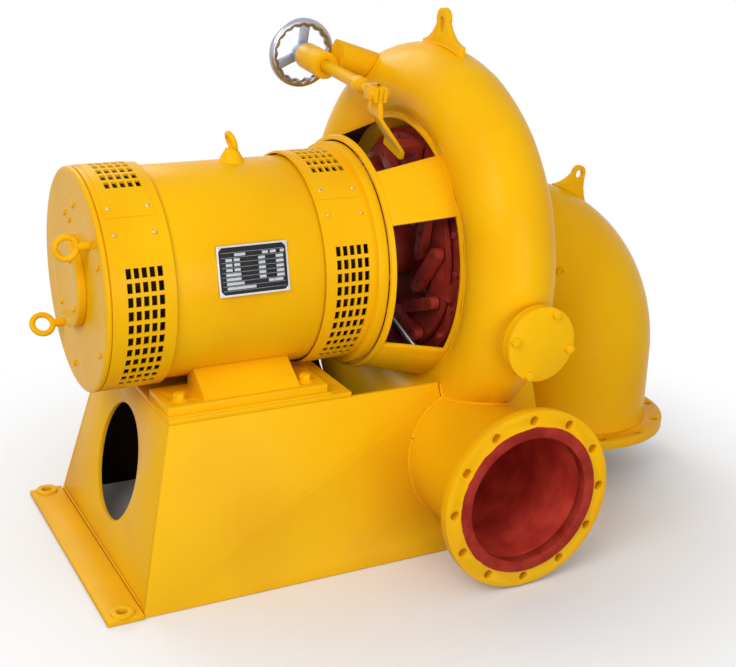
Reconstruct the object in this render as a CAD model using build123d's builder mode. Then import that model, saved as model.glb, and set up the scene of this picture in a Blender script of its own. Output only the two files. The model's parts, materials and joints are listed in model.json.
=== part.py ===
"""Small horizontal water turbine with its generator, on one welded base.

The shaft runs along X, from the generator to the turbine. Water comes in at
the flange that faces -Y, goes round the spiral casing, and leaves through the
elbow that turns down. The origin is the middle of the four foundation holes,
on the floor.
"""

import os
from math import atan2, cos, degrees, hypot, radians, sin

from build123d import *

# Shaft line and floor
shaft_height = 690.0
front_hole_x = -592.0
rear_hole_x = 592.0
foundation_hole_radius = 13.0
foundation_half_spacing = 340.0

# Base weldment
base_front_bottom_x = -548.0
base_front_top_x = -449.0
base_rear_bottom_x = 548.0
base_rear_top_x = 508.0
base_bottom_half_width = 358.0
base_top_half_width = 268.0
base_height = 413.0
base_plate = 12.0
foot_width = 84.0
foot_plate = 14.0
foot_half_length = 363.0
foot_boss_radius = 27.0
foot_boss_height = 8.0
access_hole_radius = 140.0
access_hole_height = 225.0
top_plate_end_x = 2.0
top_plate_thickness = 12.0
pad_overhang = 8.0
casing_clearance = 6.0

# Generator
generator_centre_height = 262.0
body_radius = 250.0
body_start_x = -427.0
body_end_x = -56.0
bell_radius = 228.0
shroud_radius = 259.0
shroud_sheet = 4.0
front_shroud_start_x = -563.0
front_shroud_end_x = -420.0
rear_shroud_start_x = -63.0
rear_shroud_end_x = 63.0
vent_columns = 5
vent_column_pitch = 17.5
vent_hole_width = 12.0
vent_hole_height = 22.0
vent_row_angle = 6.9
vent_first_row = 17.0
vent_side_rows = 11
vent_top_rows = 8
vent_front_middle_x = -488.0
vent_rear_middle_x = 5.0
cover_sheet = 1.5
cover_half_length = 56.0
cover_shift = 7.0
cover_half_angle = 45.0
end_cover_thickness = 11.0
end_cover_groove = 2.5
end_cover_edge = 5.0
bearing_cap_edge = 6.0
bearing_cap_radius = 105.0
bearing_cap_thickness = 12.0
foot_hole_spacing_x = 311.0
foot_hole_half_spacing_y = 213.0
foot_hole_middle_x = -250.0
foot_hole_radius = 12.0
foot_pad_length = 392.0
foot_pad_inner_y = 120.0
foot_pad_outer_y = 252.0
foot_pad_thickness = 20.0
foot_block_length = 235.0
foot_block_middle_x = -236.0
foot_block_root_y = 158.0
foot_block_root_z = -188.0
foot_block_step = 6.0
flange_thickness = 26.0
generator_flange_radius = 275.0

# Nameplate, eyes and lugs
nameplate_length = 168.0
nameplate_height = 113.0
nameplate_angle = 13.0
nameplate_middle_x = -237.0
nameplate_sheet = 1.5
top_eye_x = -193.0
top_eye_rise = 46.0
top_eye_radius = 19.0
top_eye_bar = 6.5
top_eye_lean = 0.35
top_boss_foot = 33.0
top_boss_head = 14.0
top_boss_height = 33.0
top_boss_sink = 4.0
end_eye_places = ((-139.0, 116.0, 0.0), (124.0, -137.0, 40.0))
eye_ring_radius = 24.0
eye_bar_radius = 7.0
eye_shank_radius = 10.0
eye_shank = 26.0

# Lantern between generator and turbine
lantern_start_x = 89.0
lantern_end_x = 268.0
lantern_small_radius = 288.0
lantern_large_radius = 338.0
lantern_wall = 10.0
window_start_x = 101.0
window_end_x = 250.0
window_angle = 62.0
window_middle_angle = 95.0
window_count = 4

# Guide gear
guide_count = 12
stem_circle = 164.0
pin_circle = 233.0
pin_lead_angle = 29.6
stem_radius = 11.0
stem_bore_clearance = 0.05
arm_width = 32.0
arm_thickness = 22.0
arm_start_x = 224.0
arm_tail = 27.0
arm_hole_radius = 4.5
arm_hole_depth = 6.0
arm_hole_shares = (0.18, 0.46, 0.98)
groove_depth = 12.0
groove_half_travel = 14.5
pin_radius = 6.0
pin_clearance = 2.5
ring_gap = 6.0
ring_thickness = 14.0
ring_inner_radius = 192.0
ring_outer_radius = 258.0
first_stem_angle = 202.0
head_cover_start_x = 273.0
head_cover_thickness = 20.0
head_cover_radius = 286.0
stem_boss_radius = 20.0
stem_boss_length = 5.0
ring_guide_count = 6
ring_guide_angle = 11.0
ring_guide_width = 40.0
ring_guide_depth = 27.0
ring_guide_overlap = 4.0
stay_ring_thickness = 14.0
stay_ring_root = 14.0
stay_ring_bore = 200.0
packing_box_radius = 75.0
packing_box_length = 55.0
shaft_radius = 40.0

# Spiral casing
casing_x = 344.0
inlet_x = 306.0
inlet_drop = 466.0
inlet_radius = 162.5
casing_inner_radius = 291.0
far_tube_radius = 128.0
top_tube_radius = 108.0
near_tube_radius = 104.0
tail_tube_radius = 96.0
casing_wall = 8.0
segment_angle = 22.5
segment_count = 15

# Inlet
inlet_face_y = -588.0
inlet_flange_radius = 220.0
inlet_flange_thickness = 28.0
inlet_bolt_circle = 395.0
inlet_bolt_count = 12
inlet_bolt_radius = 11.0
raised_face_radius = 182.0
raised_face_height = 3.0

# Hatch
hatch_x = 344.0
hatch_drop = 106.0
hatch_face_y = -540.0
hatch_radius = 88.0
hatch_cover_thickness = 16.0
hatch_neck_radius = 58.0
hatch_neck_length = 90.0
hatch_flange_thickness = 12.0

# Turbine back and draft tube
back_cover_start_x = 400.0
back_cover_thickness = 24.0
back_cover_radius = 286.0
draft_start_radius = 150.0
draft_end_radius = 200.0
draft_wall = 8.0
draft_bend_radius = 320.0
draft_axis_x = 850.0
draft_face_height = 126.0
draft_flange_radius = 252.0
draft_flange_thickness = 24.0
draft_bolt_circle = 460.0
draft_bolt_count = 12
draft_bolt_turn = 15.0
draft_bolt_radius = 11.0

neck_flange_radius = 196.0
neck_flange_thickness = 18.0
drain_pipe_radius = 7.0
drain_pipe_points = ((228.0, -42.0, -58.0), (165.0, -58.0, -105.0), (240.0, -232.0, -254.0))

# Lifting lugs
lug_thickness = 16.0
lug_head_radius = 26.0
lug_slot_length = 14.0
lug_hole_radius = 11.0
draft_lug_thickness = 14.0
draft_lug_head_radius = 20.0

# Hand gear
screw_x = 128.0
barrel_pivot_y = 185.0
barrel_pivot_rise = 438.0
lever_radius = 424.0
lever_angle = 106.1
barrel_radius = 34.0
barrel_front = 16.0
barrel_back = 100.0
barrel_rear_wall = 20.0
spindle_radius = 9.0
running_clearance = 0.05
rod_radius = 16.0
rod_tail = 30.0
rod_collar_radius = 19.0
rod_collar_length = 30.0
fork_length = 42.0
fork_shank_radius = 12.0
fork_cheek = 9.0
fork_gap = 14.0
fork_width = 34.0
fork_pin_radius = 7.0
fork_tip = 18.0
fork_pin_nose = 5.0
fork_root = 14.0
fork_shank_length = 40.0
rod_collar_setback = 40.0
rod_bore_length = 196.0
lever_pin_clearance = 3.5
lever_thickness = 12.0
lever_top_width = 36.0
lever_foot_width = 62.0
lever_foot_x = 196.0
lever_foot_radius = 290.0
lever_bracket_width = 44.0
lever_bracket_rise = 15.0
lever_bend_length = 42.0
lever_bend_shift = 4.0
lever_shoulder = 30.0
lever_tip_length = 22.0
hub_radius = 19.0
wheel_radius = 90.0
wheel_rim_radius = 9.5
wheel_offset = 136.0
wheel_spoke_count = 3
spoke_width = 17.0
spoke_thickness = 8.0
spindle_nose = 16.0
spindle_length = 150.0
hub_nose = 12.0
hub_gap = 5.0
support_radius = 36.0
support_end_x = 168.0
support_rise = 462.0
support_fall = 18.0
pivot_pin_radius = 10.0
pivot_pin_depth = 14.0
pivot_pin_play = 1.0
pivot_pin_root = 16.0
support_reach = 150.0

os.makedirs("parts", exist_ok=True)


def finish(builder, name):
    """Give the finished piece its name and write it."""
    builder.part.label = name
    export_step(builder.part, f"parts/{name}.step")


def across(x_from, x_to):
    """Plane across the shaft at x_from and the length to x_to, extruding along +X."""
    plane = Plane(origin=(x_from, 0, shaft_height), x_dir=(0, 1, 0), z_dir=(1, 0, 0))
    return plane, x_to - x_from


def on_circle(radius, angle):
    """Point at a radius and angle seen from the generator: 0 is +Y, 90 is up."""
    return radius * cos(radians(angle)), radius * sin(radians(angle))


def tube_size(turn):
    """Tube radius and centre-line radius at an angle turned from the bottom."""
    stops = (
        (0.0, inlet_radius, inlet_drop),
        (90.0, far_tube_radius, casing_inner_radius + far_tube_radius),
        (180.0, top_tube_radius, casing_inner_radius + top_tube_radius),
        (270.0, near_tube_radius, casing_inner_radius + near_tube_radius),
        (360.0, tail_tube_radius, casing_inner_radius + tail_tube_radius),
    )
    for (low, r_low, c_low), (high, r_high, c_high) in zip(stops, stops[1:]):
        if turn <= high:
            share = (turn - low) / (high - low)
            return r_low + share * (r_high - r_low), c_low + share * (c_high - c_low)
    return stops[-1][1:]


def tube_section_plane(turn):
    """Mitre plane through the shaft line at an angle turned from the bottom."""
    middle = tube_size(turn)[1]
    angle = radians(turn - 90)
    share = min(turn / 90, 1)
    section_x = inlet_x + share * (casing_x - inlet_x)
    return Plane(
        origin=(section_x, middle * cos(angle), shaft_height + middle * sin(angle)),
        x_dir=(1, 0, 0),
        z_dir=(0, -sin(angle), cos(angle)),
    )


def tube_stretch(first_segment, last_segment, inset):
    """Solid of the casing between two mitre planes, drawn in by the wall."""
    with BuildPart() as stretch:
        for number in range(first_segment, last_segment + 1):
            turn = number * segment_angle
            with BuildSketch(tube_section_plane(turn)):
                Circle(tube_size(turn)[0] - inset)
        loft(ruled=True)
    return stretch.part


# Welded base: four leaning plates cut from one tapered box
base_length_bottom = base_rear_bottom_x - base_front_bottom_x
base_length_top = base_rear_top_x - base_front_top_x
base_middle_bottom = (base_rear_bottom_x + base_front_bottom_x) / 2
base_middle_top = (base_rear_top_x + base_front_top_x) / 2


def tapered_box(inset):
    """Tapered box of the base, drawn in by inset on each side."""
    with BuildPart() as box:
        with BuildSketch(Plane.XY):
            with Locations((base_middle_bottom, 0)):
                Rectangle(base_length_bottom - 2 * inset, 2 * (base_bottom_half_width - inset))
        with BuildSketch(Plane.XY.offset(base_height)):
            with Locations((base_middle_top, 0)):
                Rectangle(base_length_top - 2 * inset, 2 * (base_top_half_width - inset))
        loft()
    return box.part


inlet_plane = Plane(
    origin=(inlet_x, 0, shaft_height - inlet_drop),
    x_dir=(1, 0, 0),
    z_dir=(0, -1, 0),
)
hatch_plane = Plane(
    origin=(hatch_x, hatch_face_y + hatch_cover_thickness, shaft_height - hatch_drop),
    x_dir=(1, 0, 0),
    z_dir=(0, 1, 0),
)

base_outer = tapered_box(0)
base_inner = tapered_box(base_plate)
side_lean = base_bottom_half_width - base_top_half_width
near_inner_face = Plane(
    origin=(0, -(base_bottom_half_width - base_plate), 0),
    x_dir=(1, 0, 0),
    z_dir=(0, -base_height, side_lean),
)
far_inner_face = Plane(
    origin=(0, base_bottom_half_width - base_plate, 0),
    x_dir=(1, 0, 0),
    z_dir=(0, base_height, side_lean),
)

with BuildPart() as base_near_plate:
    add(base_outer)
    add(base_inner, mode=Mode.SUBTRACT)
    split(bisect_by=near_inner_face, keep=Keep.TOP)
    add(tube_stretch(10, segment_count, -casing_clearance), mode=Mode.SUBTRACT)
    with BuildSketch(inlet_plane):
        Circle(inlet_radius)
    extrude(amount=2 * base_bottom_half_width, mode=Mode.SUBTRACT)
finish(base_near_plate, "base_near_plate")

with BuildPart() as base_far_plate:
    add(base_outer)
    add(base_inner, mode=Mode.SUBTRACT)
    split(bisect_by=far_inner_face, keep=Keep.TOP)
    add(tube_stretch(0, 4, -casing_clearance), mode=Mode.SUBTRACT)
finish(base_far_plate, "base_far_plate")

with BuildPart() as base_ends:
    add(base_outer)
    add(base_inner, mode=Mode.SUBTRACT)
    split(bisect_by=near_inner_face, keep=Keep.BOTTOM)
    split(bisect_by=far_inner_face, keep=Keep.BOTTOM)

with BuildPart() as base_front_plate:
    add(base_ends.part)
    split(bisect_by=Plane.YZ, keep=Keep.BOTTOM)
    with BuildSketch(Plane(origin=(0, 0, access_hole_height), x_dir=(0, 1, 0), z_dir=(-1, 0, 0))):
        Circle(access_hole_radius)
    extrude(amount=base_length_bottom, mode=Mode.SUBTRACT)
finish(base_front_plate, "base_front_plate")

with BuildPart() as base_rear_plate:
    add(base_ends.part)
    split(bisect_by=Plane.YZ, keep=Keep.TOP)
finish(base_rear_plate, "base_rear_plate")

base_top_length = top_plate_end_x - base_front_top_x
with BuildPart() as base_top_plate:
    with BuildSketch(Plane.XY.offset(base_height)):
        with Locations(((base_front_top_x + top_plate_end_x) / 2, 0)):
            Rectangle(base_top_length, 2 * base_top_half_width)
    extrude(amount=top_plate_thickness)
    pad_width = foot_pad_outer_y - foot_pad_inner_y + pad_overhang
    pad_middle_y = (foot_pad_outer_y + foot_pad_inner_y + pad_overhang) / 2
    with BuildSketch(Plane.XY.offset(base_height + top_plate_thickness)):
        with Locations((foot_hole_middle_x, -pad_middle_y), (foot_hole_middle_x, pad_middle_y)):
            Rectangle(foot_pad_length + 2 * pad_overhang, pad_width)
    extrude(amount=shaft_height - generator_centre_height - base_height - top_plate_thickness)
finish(base_top_plate, "base_top_plate")

with BuildPart() as base_feet:
    for hole_x, inner_x, outward in (
        (front_hole_x, base_front_bottom_x, -1),
        (rear_hole_x, base_rear_bottom_x, 1),
    ):
        hole_places = [(hole_x, side * foundation_half_spacing) for side in (-1, 1)]
        with BuildSketch(Plane.XY):
            with Locations((inner_x + outward * foot_width / 2, 0)):
                Rectangle(foot_width, 2 * foot_half_length)
        extrude(amount=foot_plate)
        with BuildSketch(Plane.XY.offset(foot_plate)):
            with Locations(*hole_places):
                Circle(foot_boss_radius)
        extrude(amount=foot_boss_height)
        with BuildSketch(Plane.XY):
            with Locations(*hole_places):
                Circle(foundation_hole_radius)
        extrude(amount=foot_plate + foot_boss_height, mode=Mode.SUBTRACT)
finish(base_feet, "base_feet")

# Generator: body with narrower end bells, two sheet shrouds, covers and feet
with BuildPart() as generator_body:
    plane, length = across(body_start_x, body_end_x)
    with BuildSketch(plane):
        Circle(body_radius)
    extrude(amount=length)
    plane, length = across(front_shroud_start_x, rear_shroud_end_x)
    with BuildSketch(plane):
        Circle(bell_radius)
    extrude(amount=length)
finish(generator_body, "generator_body")


def vent_row_angles(side):
    """Angles of the vent rows: down the near or far side, or over the top."""
    if side == "top":
        first = 90 - vent_row_angle * (vent_top_rows - 1) / 2
        return [first + row * vent_row_angle for row in range(vent_top_rows)]
    rows = [vent_first_row - row * vent_row_angle for row in range(vent_side_rows)]
    if side == "far":
        return rows
    return [180 - angle for angle in rows]


def radial_plane(x, radius, angle):
    """Plane that touches a cylinder round the shaft line, facing outwards."""
    y, z = on_circle(radius, angle)
    return Plane(
        origin=(x, y, shaft_height + z),
        x_dir=(1, 0, 0),
        z_dir=(0, cos(radians(angle)), sin(radians(angle))),
    )


def vent_cutter(middle_x, angles):
    """Bars that punch the vent holes of these rows."""
    with BuildPart() as cutter:
        for angle in angles:
            with BuildSketch(radial_plane(middle_x, shroud_radius, angle)):
                with GridLocations(vent_column_pitch, 1, vent_columns, 1):
                    Rectangle(vent_hole_width, vent_hole_height)
            extrude(amount=2 * shroud_sheet, both=True)
    return cutter.part


cover_sheets = []
for end_name, start_x, end_x, vent_x in (
    ("front", front_shroud_start_x, front_shroud_end_x, vent_front_middle_x),
    ("rear", rear_shroud_start_x, rear_shroud_end_x, vent_rear_middle_x),
):
    side_cutter = vent_cutter(vent_x, vent_row_angles("near") + vent_row_angles("far"))
    top_cutter = vent_cutter(vent_x, vent_row_angles("top"))
    with BuildPart() as shroud:
        plane, length = across(start_x, end_x)
        with BuildSketch(plane):
            Circle(shroud_radius)
            Circle(shroud_radius - shroud_sheet, mode=Mode.SUBTRACT)
        extrude(amount=length)
        add(side_cutter, mode=Mode.SUBTRACT)
        add(top_cutter, mode=Mode.SUBTRACT)
    finish(shroud, f"{end_name}_shroud")

    with BuildPart() as cover_sheet_part:
        cover_x = vent_x - cover_shift
        plane, length = across(cover_x - cover_half_length, cover_x + cover_half_length)
        with BuildSketch(plane):
            Circle(shroud_radius + cover_sheet)
            Circle(shroud_radius, mode=Mode.SUBTRACT)
            cover_low = on_circle(2 * shroud_radius, 90 - cover_half_angle)
            cover_high = on_circle(2 * shroud_radius, 90 + cover_half_angle)
            with BuildLine():
                Polyline((0, 0), cover_low, cover_high, close=True)
            make_face(mode=Mode.INTERSECT)
        extrude(amount=length)
        add(top_cutter, mode=Mode.SUBTRACT)
    cover_sheets.append(cover_sheet_part.part)
with BuildPart() as vent_covers:
    for sheet in cover_sheets:
        add(sheet)
finish(vent_covers, "vent_covers")

cover_back_x = front_shroud_start_x - end_cover_groove
cover_face_x = cover_back_x - end_cover_thickness
with BuildPart() as end_cover:
    plane, length = across(cover_face_x, cover_back_x)
    with BuildSketch(plane):
        Circle(shroud_radius)
    extrude(amount=length)
    front_edge = end_cover.edges().filter_by(GeomType.CIRCLE).sort_by(Axis.X)[0]
    fillet(front_edge, end_cover_edge)
    plane, length = across(cover_back_x, front_shroud_start_x)
    with BuildSketch(plane):
        Circle(shroud_radius - shroud_sheet)
    extrude(amount=length)
finish(end_cover, "end_cover")

with BuildPart() as bearing_cap:
    plane, length = across(cover_face_x - bearing_cap_thickness, cover_face_x)
    with BuildSketch(plane):
        Circle(bearing_cap_radius)
    extrude(amount=length)
    fillet(bearing_cap.edges().filter_by(GeomType.CIRCLE).sort_by(Axis.X)[0], bearing_cap_edge)
finish(bearing_cap, "bearing_cap")

with BuildPart() as generator_flange:
    plane, length = across(rear_shroud_end_x, rear_shroud_end_x + flange_thickness)
    with BuildSketch(plane):
        Circle(generator_flange_radius)
        Circle(shaft_radius, mode=Mode.SUBTRACT)
    extrude(amount=length)
finish(generator_flange, "generator_flange")

foot_start_x = foot_hole_middle_x - foot_pad_length / 2
block_start_x = foot_block_middle_x - foot_block_length / 2
pad_bottom = -generator_centre_height
foot_top = pad_bottom + foot_pad_thickness
with BuildPart() as generator_feet:
    for side in (-1, 1):
        plane, length = across(foot_start_x, foot_start_x + foot_pad_length)
        with BuildSketch(plane):
            with BuildLine():
                Polyline(
                    (side * foot_pad_inner_y, pad_bottom),
                    (side * foot_pad_outer_y, pad_bottom),
                    (side * foot_pad_outer_y, foot_top),
                    (side * foot_pad_inner_y, foot_top),
                    close=True,
                )
            make_face()
        extrude(amount=length)
        plane, length = across(block_start_x, block_start_x + foot_block_length)
        with BuildSketch(plane):
            with BuildLine():
                Polyline(
                    (side * foot_pad_inner_y, pad_bottom),
                    (side * (foot_pad_outer_y - foot_block_step), pad_bottom),
                    (side * (foot_pad_outer_y - 2 * foot_block_step), foot_top),
                    (side * foot_block_root_y, foot_block_root_z),
                    (side * foot_pad_inner_y, foot_block_root_z),
                    close=True,
                )
            make_face()
        extrude(amount=length)
    with BuildSketch(across(foot_start_x, foot_start_x)[0]):
        Circle(body_radius)
    extrude(amount=foot_pad_length, mode=Mode.SUBTRACT)
    with BuildSketch(Plane.XY.offset(shaft_height - generator_centre_height)):
        with Locations((foot_hole_middle_x, 0)):
            with GridLocations(foot_hole_spacing_x, 2 * foot_hole_half_spacing_y, 2, 2):
                Circle(foot_hole_radius)
    extrude(amount=foot_pad_thickness, mode=Mode.SUBTRACT)
finish(generator_feet, "generator_feet")

with BuildPart() as nameplate:
    with BuildSketch(across(nameplate_middle_x - nameplate_length / 2, 0)[0]):
        Circle(body_radius + nameplate_sheet)
        Circle(body_radius, mode=Mode.SUBTRACT)
        plate_half_angle = degrees(nameplate_height / body_radius) / 2
        with BuildLine():
            plate_reach = 2 * body_radius
            plate_low = on_circle(plate_reach, 180 - nameplate_angle - plate_half_angle)
            plate_high = on_circle(plate_reach, 180 - nameplate_angle + plate_half_angle)
            Polyline((0, 0), plate_low, plate_high, close=True)
        make_face(mode=Mode.INTERSECT)
    extrude(amount=nameplate_length)
finish(nameplate, "nameplate")

with BuildPart() as end_eyebolts:
    for eye_y, eye_z, turn in end_eye_places:
        base = (cover_face_x, eye_y, shaft_height + eye_z)
        with BuildSketch(Plane(origin=base, x_dir=(0, 1, 0), z_dir=(-1, 0, 0))):
            Circle(eye_shank_radius)
        extrude(amount=eye_shank)
        ring_centre = (cover_face_x - eye_shank - eye_ring_radius, eye_y, shaft_height + eye_z)
        ring_plane = Plane(
            origin=ring_centre,
            x_dir=(-1, 0, 0),
            z_dir=(0, -cos(radians(turn)), sin(radians(turn))),
        )
        with Locations(ring_plane):
            Torus(eye_ring_radius, eye_bar_radius)
finish(end_eyebolts, "end_eyebolts")

with BuildPart() as lifting_eye:
    body_top = shaft_height + body_radius
    with Locations((top_eye_x, 0, body_top - top_boss_sink)):
        Cone(
            top_boss_foot,
            top_boss_head,
            top_boss_height,
            align=(Align.CENTER, Align.CENTER, Align.MIN),
        )
    with BuildSketch(across(top_eye_x - top_boss_foot, 0)[0]):
        Circle(body_radius)
    extrude(amount=2 * top_boss_foot, mode=Mode.SUBTRACT)
    ring_plane = Plane(
        origin=(top_eye_x, 0, body_top + top_eye_rise),
        x_dir=(0, 0, 1),
        z_dir=(1, 0, top_eye_lean),
    )
    with Locations(ring_plane):
        Torus(top_eye_radius, top_eye_bar)
finish(lifting_eye, "lifting_eye")

with BuildPart() as main_shaft:
    plane, length = across(rear_shroud_end_x, head_cover_start_x)
    with BuildSketch(plane):
        Circle(shaft_radius)
    extrude(amount=length)
finish(main_shaft, "main_shaft")

# Spiral casing: mitred rings of pipe, each a little smaller than the last
casing_stretches = (
    ("casing_lower", 0, 4),
    ("casing_far", 4, 7),
    ("casing_top", 7, 10),
    ("casing_near", 10, 13),
    ("casing_tail", 13, segment_count),
)
casing_outers = {}
for stretch_name, first_segment, last_segment in casing_stretches:
    casing_outers[stretch_name] = tube_stretch(first_segment, last_segment, 0)
    with BuildPart() as casing_part:
        add(casing_outers[stretch_name])
        add(tube_stretch(first_segment, last_segment, casing_wall), mode=Mode.SUBTRACT)
        if stretch_name == "casing_tail":
            with BuildSketch(inlet_plane):
                Circle(inlet_radius)
            extrude(amount=-inlet_face_y, mode=Mode.SUBTRACT)
    finish(casing_part, stretch_name)

inlet_bore = inlet_radius - casing_wall
with BuildPart() as inlet_pipe:
    with BuildSketch(inlet_plane):
        Circle(inlet_radius)
        Circle(inlet_bore, mode=Mode.SUBTRACT)
    extrude(amount=-inlet_face_y - inlet_flange_thickness)
finish(inlet_pipe, "inlet_pipe")

with BuildPart() as inlet_flange:
    flange_back = -inlet_face_y - inlet_flange_thickness
    with BuildSketch(inlet_plane.offset(flange_back)):
        Circle(inlet_flange_radius)
    extrude(amount=inlet_flange_thickness - raised_face_height)
    with BuildSketch(inlet_plane.offset(flange_back)):
        Circle(raised_face_radius)
    extrude(amount=inlet_flange_thickness)
    with BuildSketch(inlet_plane.offset(flange_back)):
        Circle(inlet_bore)
        with PolarLocations(inlet_bolt_circle / 2, inlet_bolt_count):
            Circle(inlet_bolt_radius)
    extrude(amount=inlet_flange_thickness, mode=Mode.SUBTRACT)
finish(inlet_flange, "inlet_flange")

with BuildPart() as hatch_neck:
    with BuildSketch(hatch_plane):
        Circle(hatch_neck_radius)
    extrude(amount=hatch_neck_length)
    with BuildSketch(hatch_plane):
        Circle(hatch_radius)
    extrude(amount=hatch_flange_thickness)
    for stretch in casing_outers.values():
        add(stretch, mode=Mode.SUBTRACT)
finish(hatch_neck, "hatch_neck")

with BuildPart() as hatch_cover:
    with BuildSketch(hatch_plane):
        Circle(hatch_radius)
    extrude(amount=-hatch_cover_thickness)
finish(hatch_cover, "hatch_cover")

# Lantern: rolled cone with four windows, let into the front of the casing
with BuildPart() as lantern_cone:
    with BuildSketch(Plane(origin=(0, 0, shaft_height), x_dir=(1, 0, 0), z_dir=(0, -1, 0))):
        with BuildLine():
            Polyline(
                (lantern_start_x, lantern_small_radius - lantern_wall),
                (lantern_start_x, lantern_small_radius),
                (lantern_end_x, lantern_large_radius),
                (lantern_end_x, lantern_large_radius - lantern_wall),
                close=True,
            )
        make_face()
    revolve(axis=Axis((0, 0, shaft_height), (1, 0, 0)), revolution_arc=360)
    with BuildSketch(inlet_plane):
        Circle(inlet_radius)
    extrude(amount=lantern_large_radius, mode=Mode.SUBTRACT)


def lantern_slice(x_from, x_to, windows):
    """Stretch of the lantern's cone, with or without the windows cut out."""
    with BuildPart() as piece:
        add(lantern_cone.part)
        plane, length = across(x_from, x_to)
        with BuildSketch(plane):
            Circle(2 * lantern_large_radius)
        extrude(amount=length, mode=Mode.INTERSECT)
        if windows:
            with BuildSketch(plane):
                for number in range(window_count):
                    middle = window_middle_angle + number * 360 / window_count
                    low = on_circle(2 * lantern_large_radius, middle - window_angle / 2)
                    high = on_circle(2 * lantern_large_radius, middle + window_angle / 2)
                    with BuildLine():
                        Polyline((0, 0), low, high, close=True)
                    make_face()
            extrude(amount=length, mode=Mode.SUBTRACT)
        for stretch in casing_outers.values():
            add(stretch, mode=Mode.SUBTRACT)
    return piece


lantern_front_ring = lantern_slice(lantern_start_x, window_start_x, False)
lantern_webs = lantern_slice(window_start_x, window_end_x, True)
finish(lantern_webs, "lantern_webs")
lantern_rear_ring = lantern_slice(window_end_x, lantern_end_x, False)
with BuildPart() as lantern_rings:
    add(lantern_front_ring.part)
    add(lantern_rear_ring.solids().sort_by(SortBy.VOLUME)[-1])
finish(lantern_rings, "lantern_rings")

# Rings welded inside the casing: they carry the head cover and the back cover
with BuildPart() as stay_ring:
    for ring_x in (head_cover_start_x + head_cover_thickness, back_cover_start_x - stay_ring_thickness):
        with BuildSketch(across(ring_x, 0)[0]):
            Circle(casing_inner_radius + stay_ring_root)
            Circle(stay_ring_bore, mode=Mode.SUBTRACT)
        extrude(amount=stay_ring_thickness)
    for stretch in casing_outers.values():
        add(stretch, mode=Mode.SUBTRACT)
    with BuildSketch(inlet_plane):
        Circle(inlet_radius)
    extrude(amount=casing_inner_radius, mode=Mode.SUBTRACT)
finish(stay_ring, "stay_ring")

arm_end_x = arm_start_x + arm_thickness
ring_start_x = arm_end_x + ring_gap
ring_end_x = ring_start_x + ring_thickness
stem_bore = stem_radius + stem_bore_clearance
head_cover_end_x = head_cover_start_x + head_cover_thickness
with BuildPart() as head_cover:
    plane, length = across(head_cover_start_x, head_cover_end_x)
    with BuildSketch(plane):
        Circle(head_cover_radius)
    extrude(amount=length)
    plane, length = across(head_cover_start_x - packing_box_length, head_cover_start_x)
    with BuildSketch(plane):
        Circle(packing_box_radius)
    extrude(amount=length)
    with BuildSketch(across(head_cover_start_x - stem_boss_length, 0)[0]):
        with PolarLocations(stem_circle, guide_count, start_angle=first_stem_angle):
            Circle(stem_boss_radius)
    extrude(amount=stem_boss_length)
    with BuildSketch(across(head_cover_start_x - packing_box_length, 0)[0]):
        Circle(shaft_radius)
    extrude(amount=packing_box_length, mode=Mode.SUBTRACT)
    with BuildSketch(across(head_cover_start_x - stem_boss_length, 0)[0]):
        with PolarLocations(stem_circle, guide_count, start_angle=first_stem_angle):
            Circle(stem_bore)
    extrude(amount=stem_boss_length + head_cover_thickness, mode=Mode.SUBTRACT)
finish(head_cover, "head_cover")

ring_guide_bore = ring_outer_radius + running_clearance
ring_guide_circle = ring_outer_radius + ring_guide_depth / 2 - ring_guide_overlap
with BuildPart() as ring_guides:
    with BuildSketch(across(ring_start_x, 0)[0]):
        with PolarLocations(ring_guide_circle, ring_guide_count, start_angle=ring_guide_angle):
            Rectangle(ring_guide_depth, ring_guide_width)
        Circle(ring_guide_bore, mode=Mode.SUBTRACT)
    extrude(amount=head_cover_start_x - ring_start_x)
finish(ring_guides, "ring_guides")

# Guide gear: a ring turned by the lever swings twelve arms through pins
lever_foot_low = ring_outer_radius + lever_bracket_rise
lever_bend_radius = lever_radius - lever_bend_length
lever_shoulder_radius = lever_radius - lever_shoulder
lever_cut_length = lever_foot_x - screw_x + 2 * lever_foot_width
with BuildPart() as ring_pins:
    with BuildSketch(across(ring_start_x, 0)[0]):
        with PolarLocations(pin_circle, guide_count, start_angle=first_stem_angle - pin_lead_angle):
            Circle(pin_radius)
    extrude(amount=-(ring_gap + groove_depth - 2))
finish(ring_pins, "ring_pins")

lever_side = Plane(
    origin=(0, 0, shaft_height),
    x_dir=(1, 0, 0),
    z_dir=(0, -sin(radians(lever_angle)), cos(radians(lever_angle))),
)
lever_tip_radius = lever_radius + lever_tip_length
with BuildPart() as regulating_ring:
    with BuildSketch(lever_side):
        with BuildLine():
            Polyline(
                (ring_end_x, ring_outer_radius - 4),
                (ring_end_x, lever_foot_radius),
                (lever_foot_x + lever_thickness / 2, lever_foot_radius + lever_bend_shift),
                (lever_foot_x + lever_thickness / 2, lever_foot_low),
                (ring_start_x, lever_foot_low),
                (ring_start_x, ring_outer_radius - 4),
                close=True,
            )
        make_face()
    extrude(amount=lever_bracket_width / 2, both=True)
    with BuildSketch(across(ring_start_x, ring_end_x)[0]):
        Circle(ring_outer_radius)
    extrude(amount=ring_thickness)
    with BuildSketch(across(ring_start_x, ring_end_x)[0]):
        Circle(ring_inner_radius)
    extrude(amount=ring_thickness, mode=Mode.SUBTRACT)
finish(regulating_ring, "regulating_ring")

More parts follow.
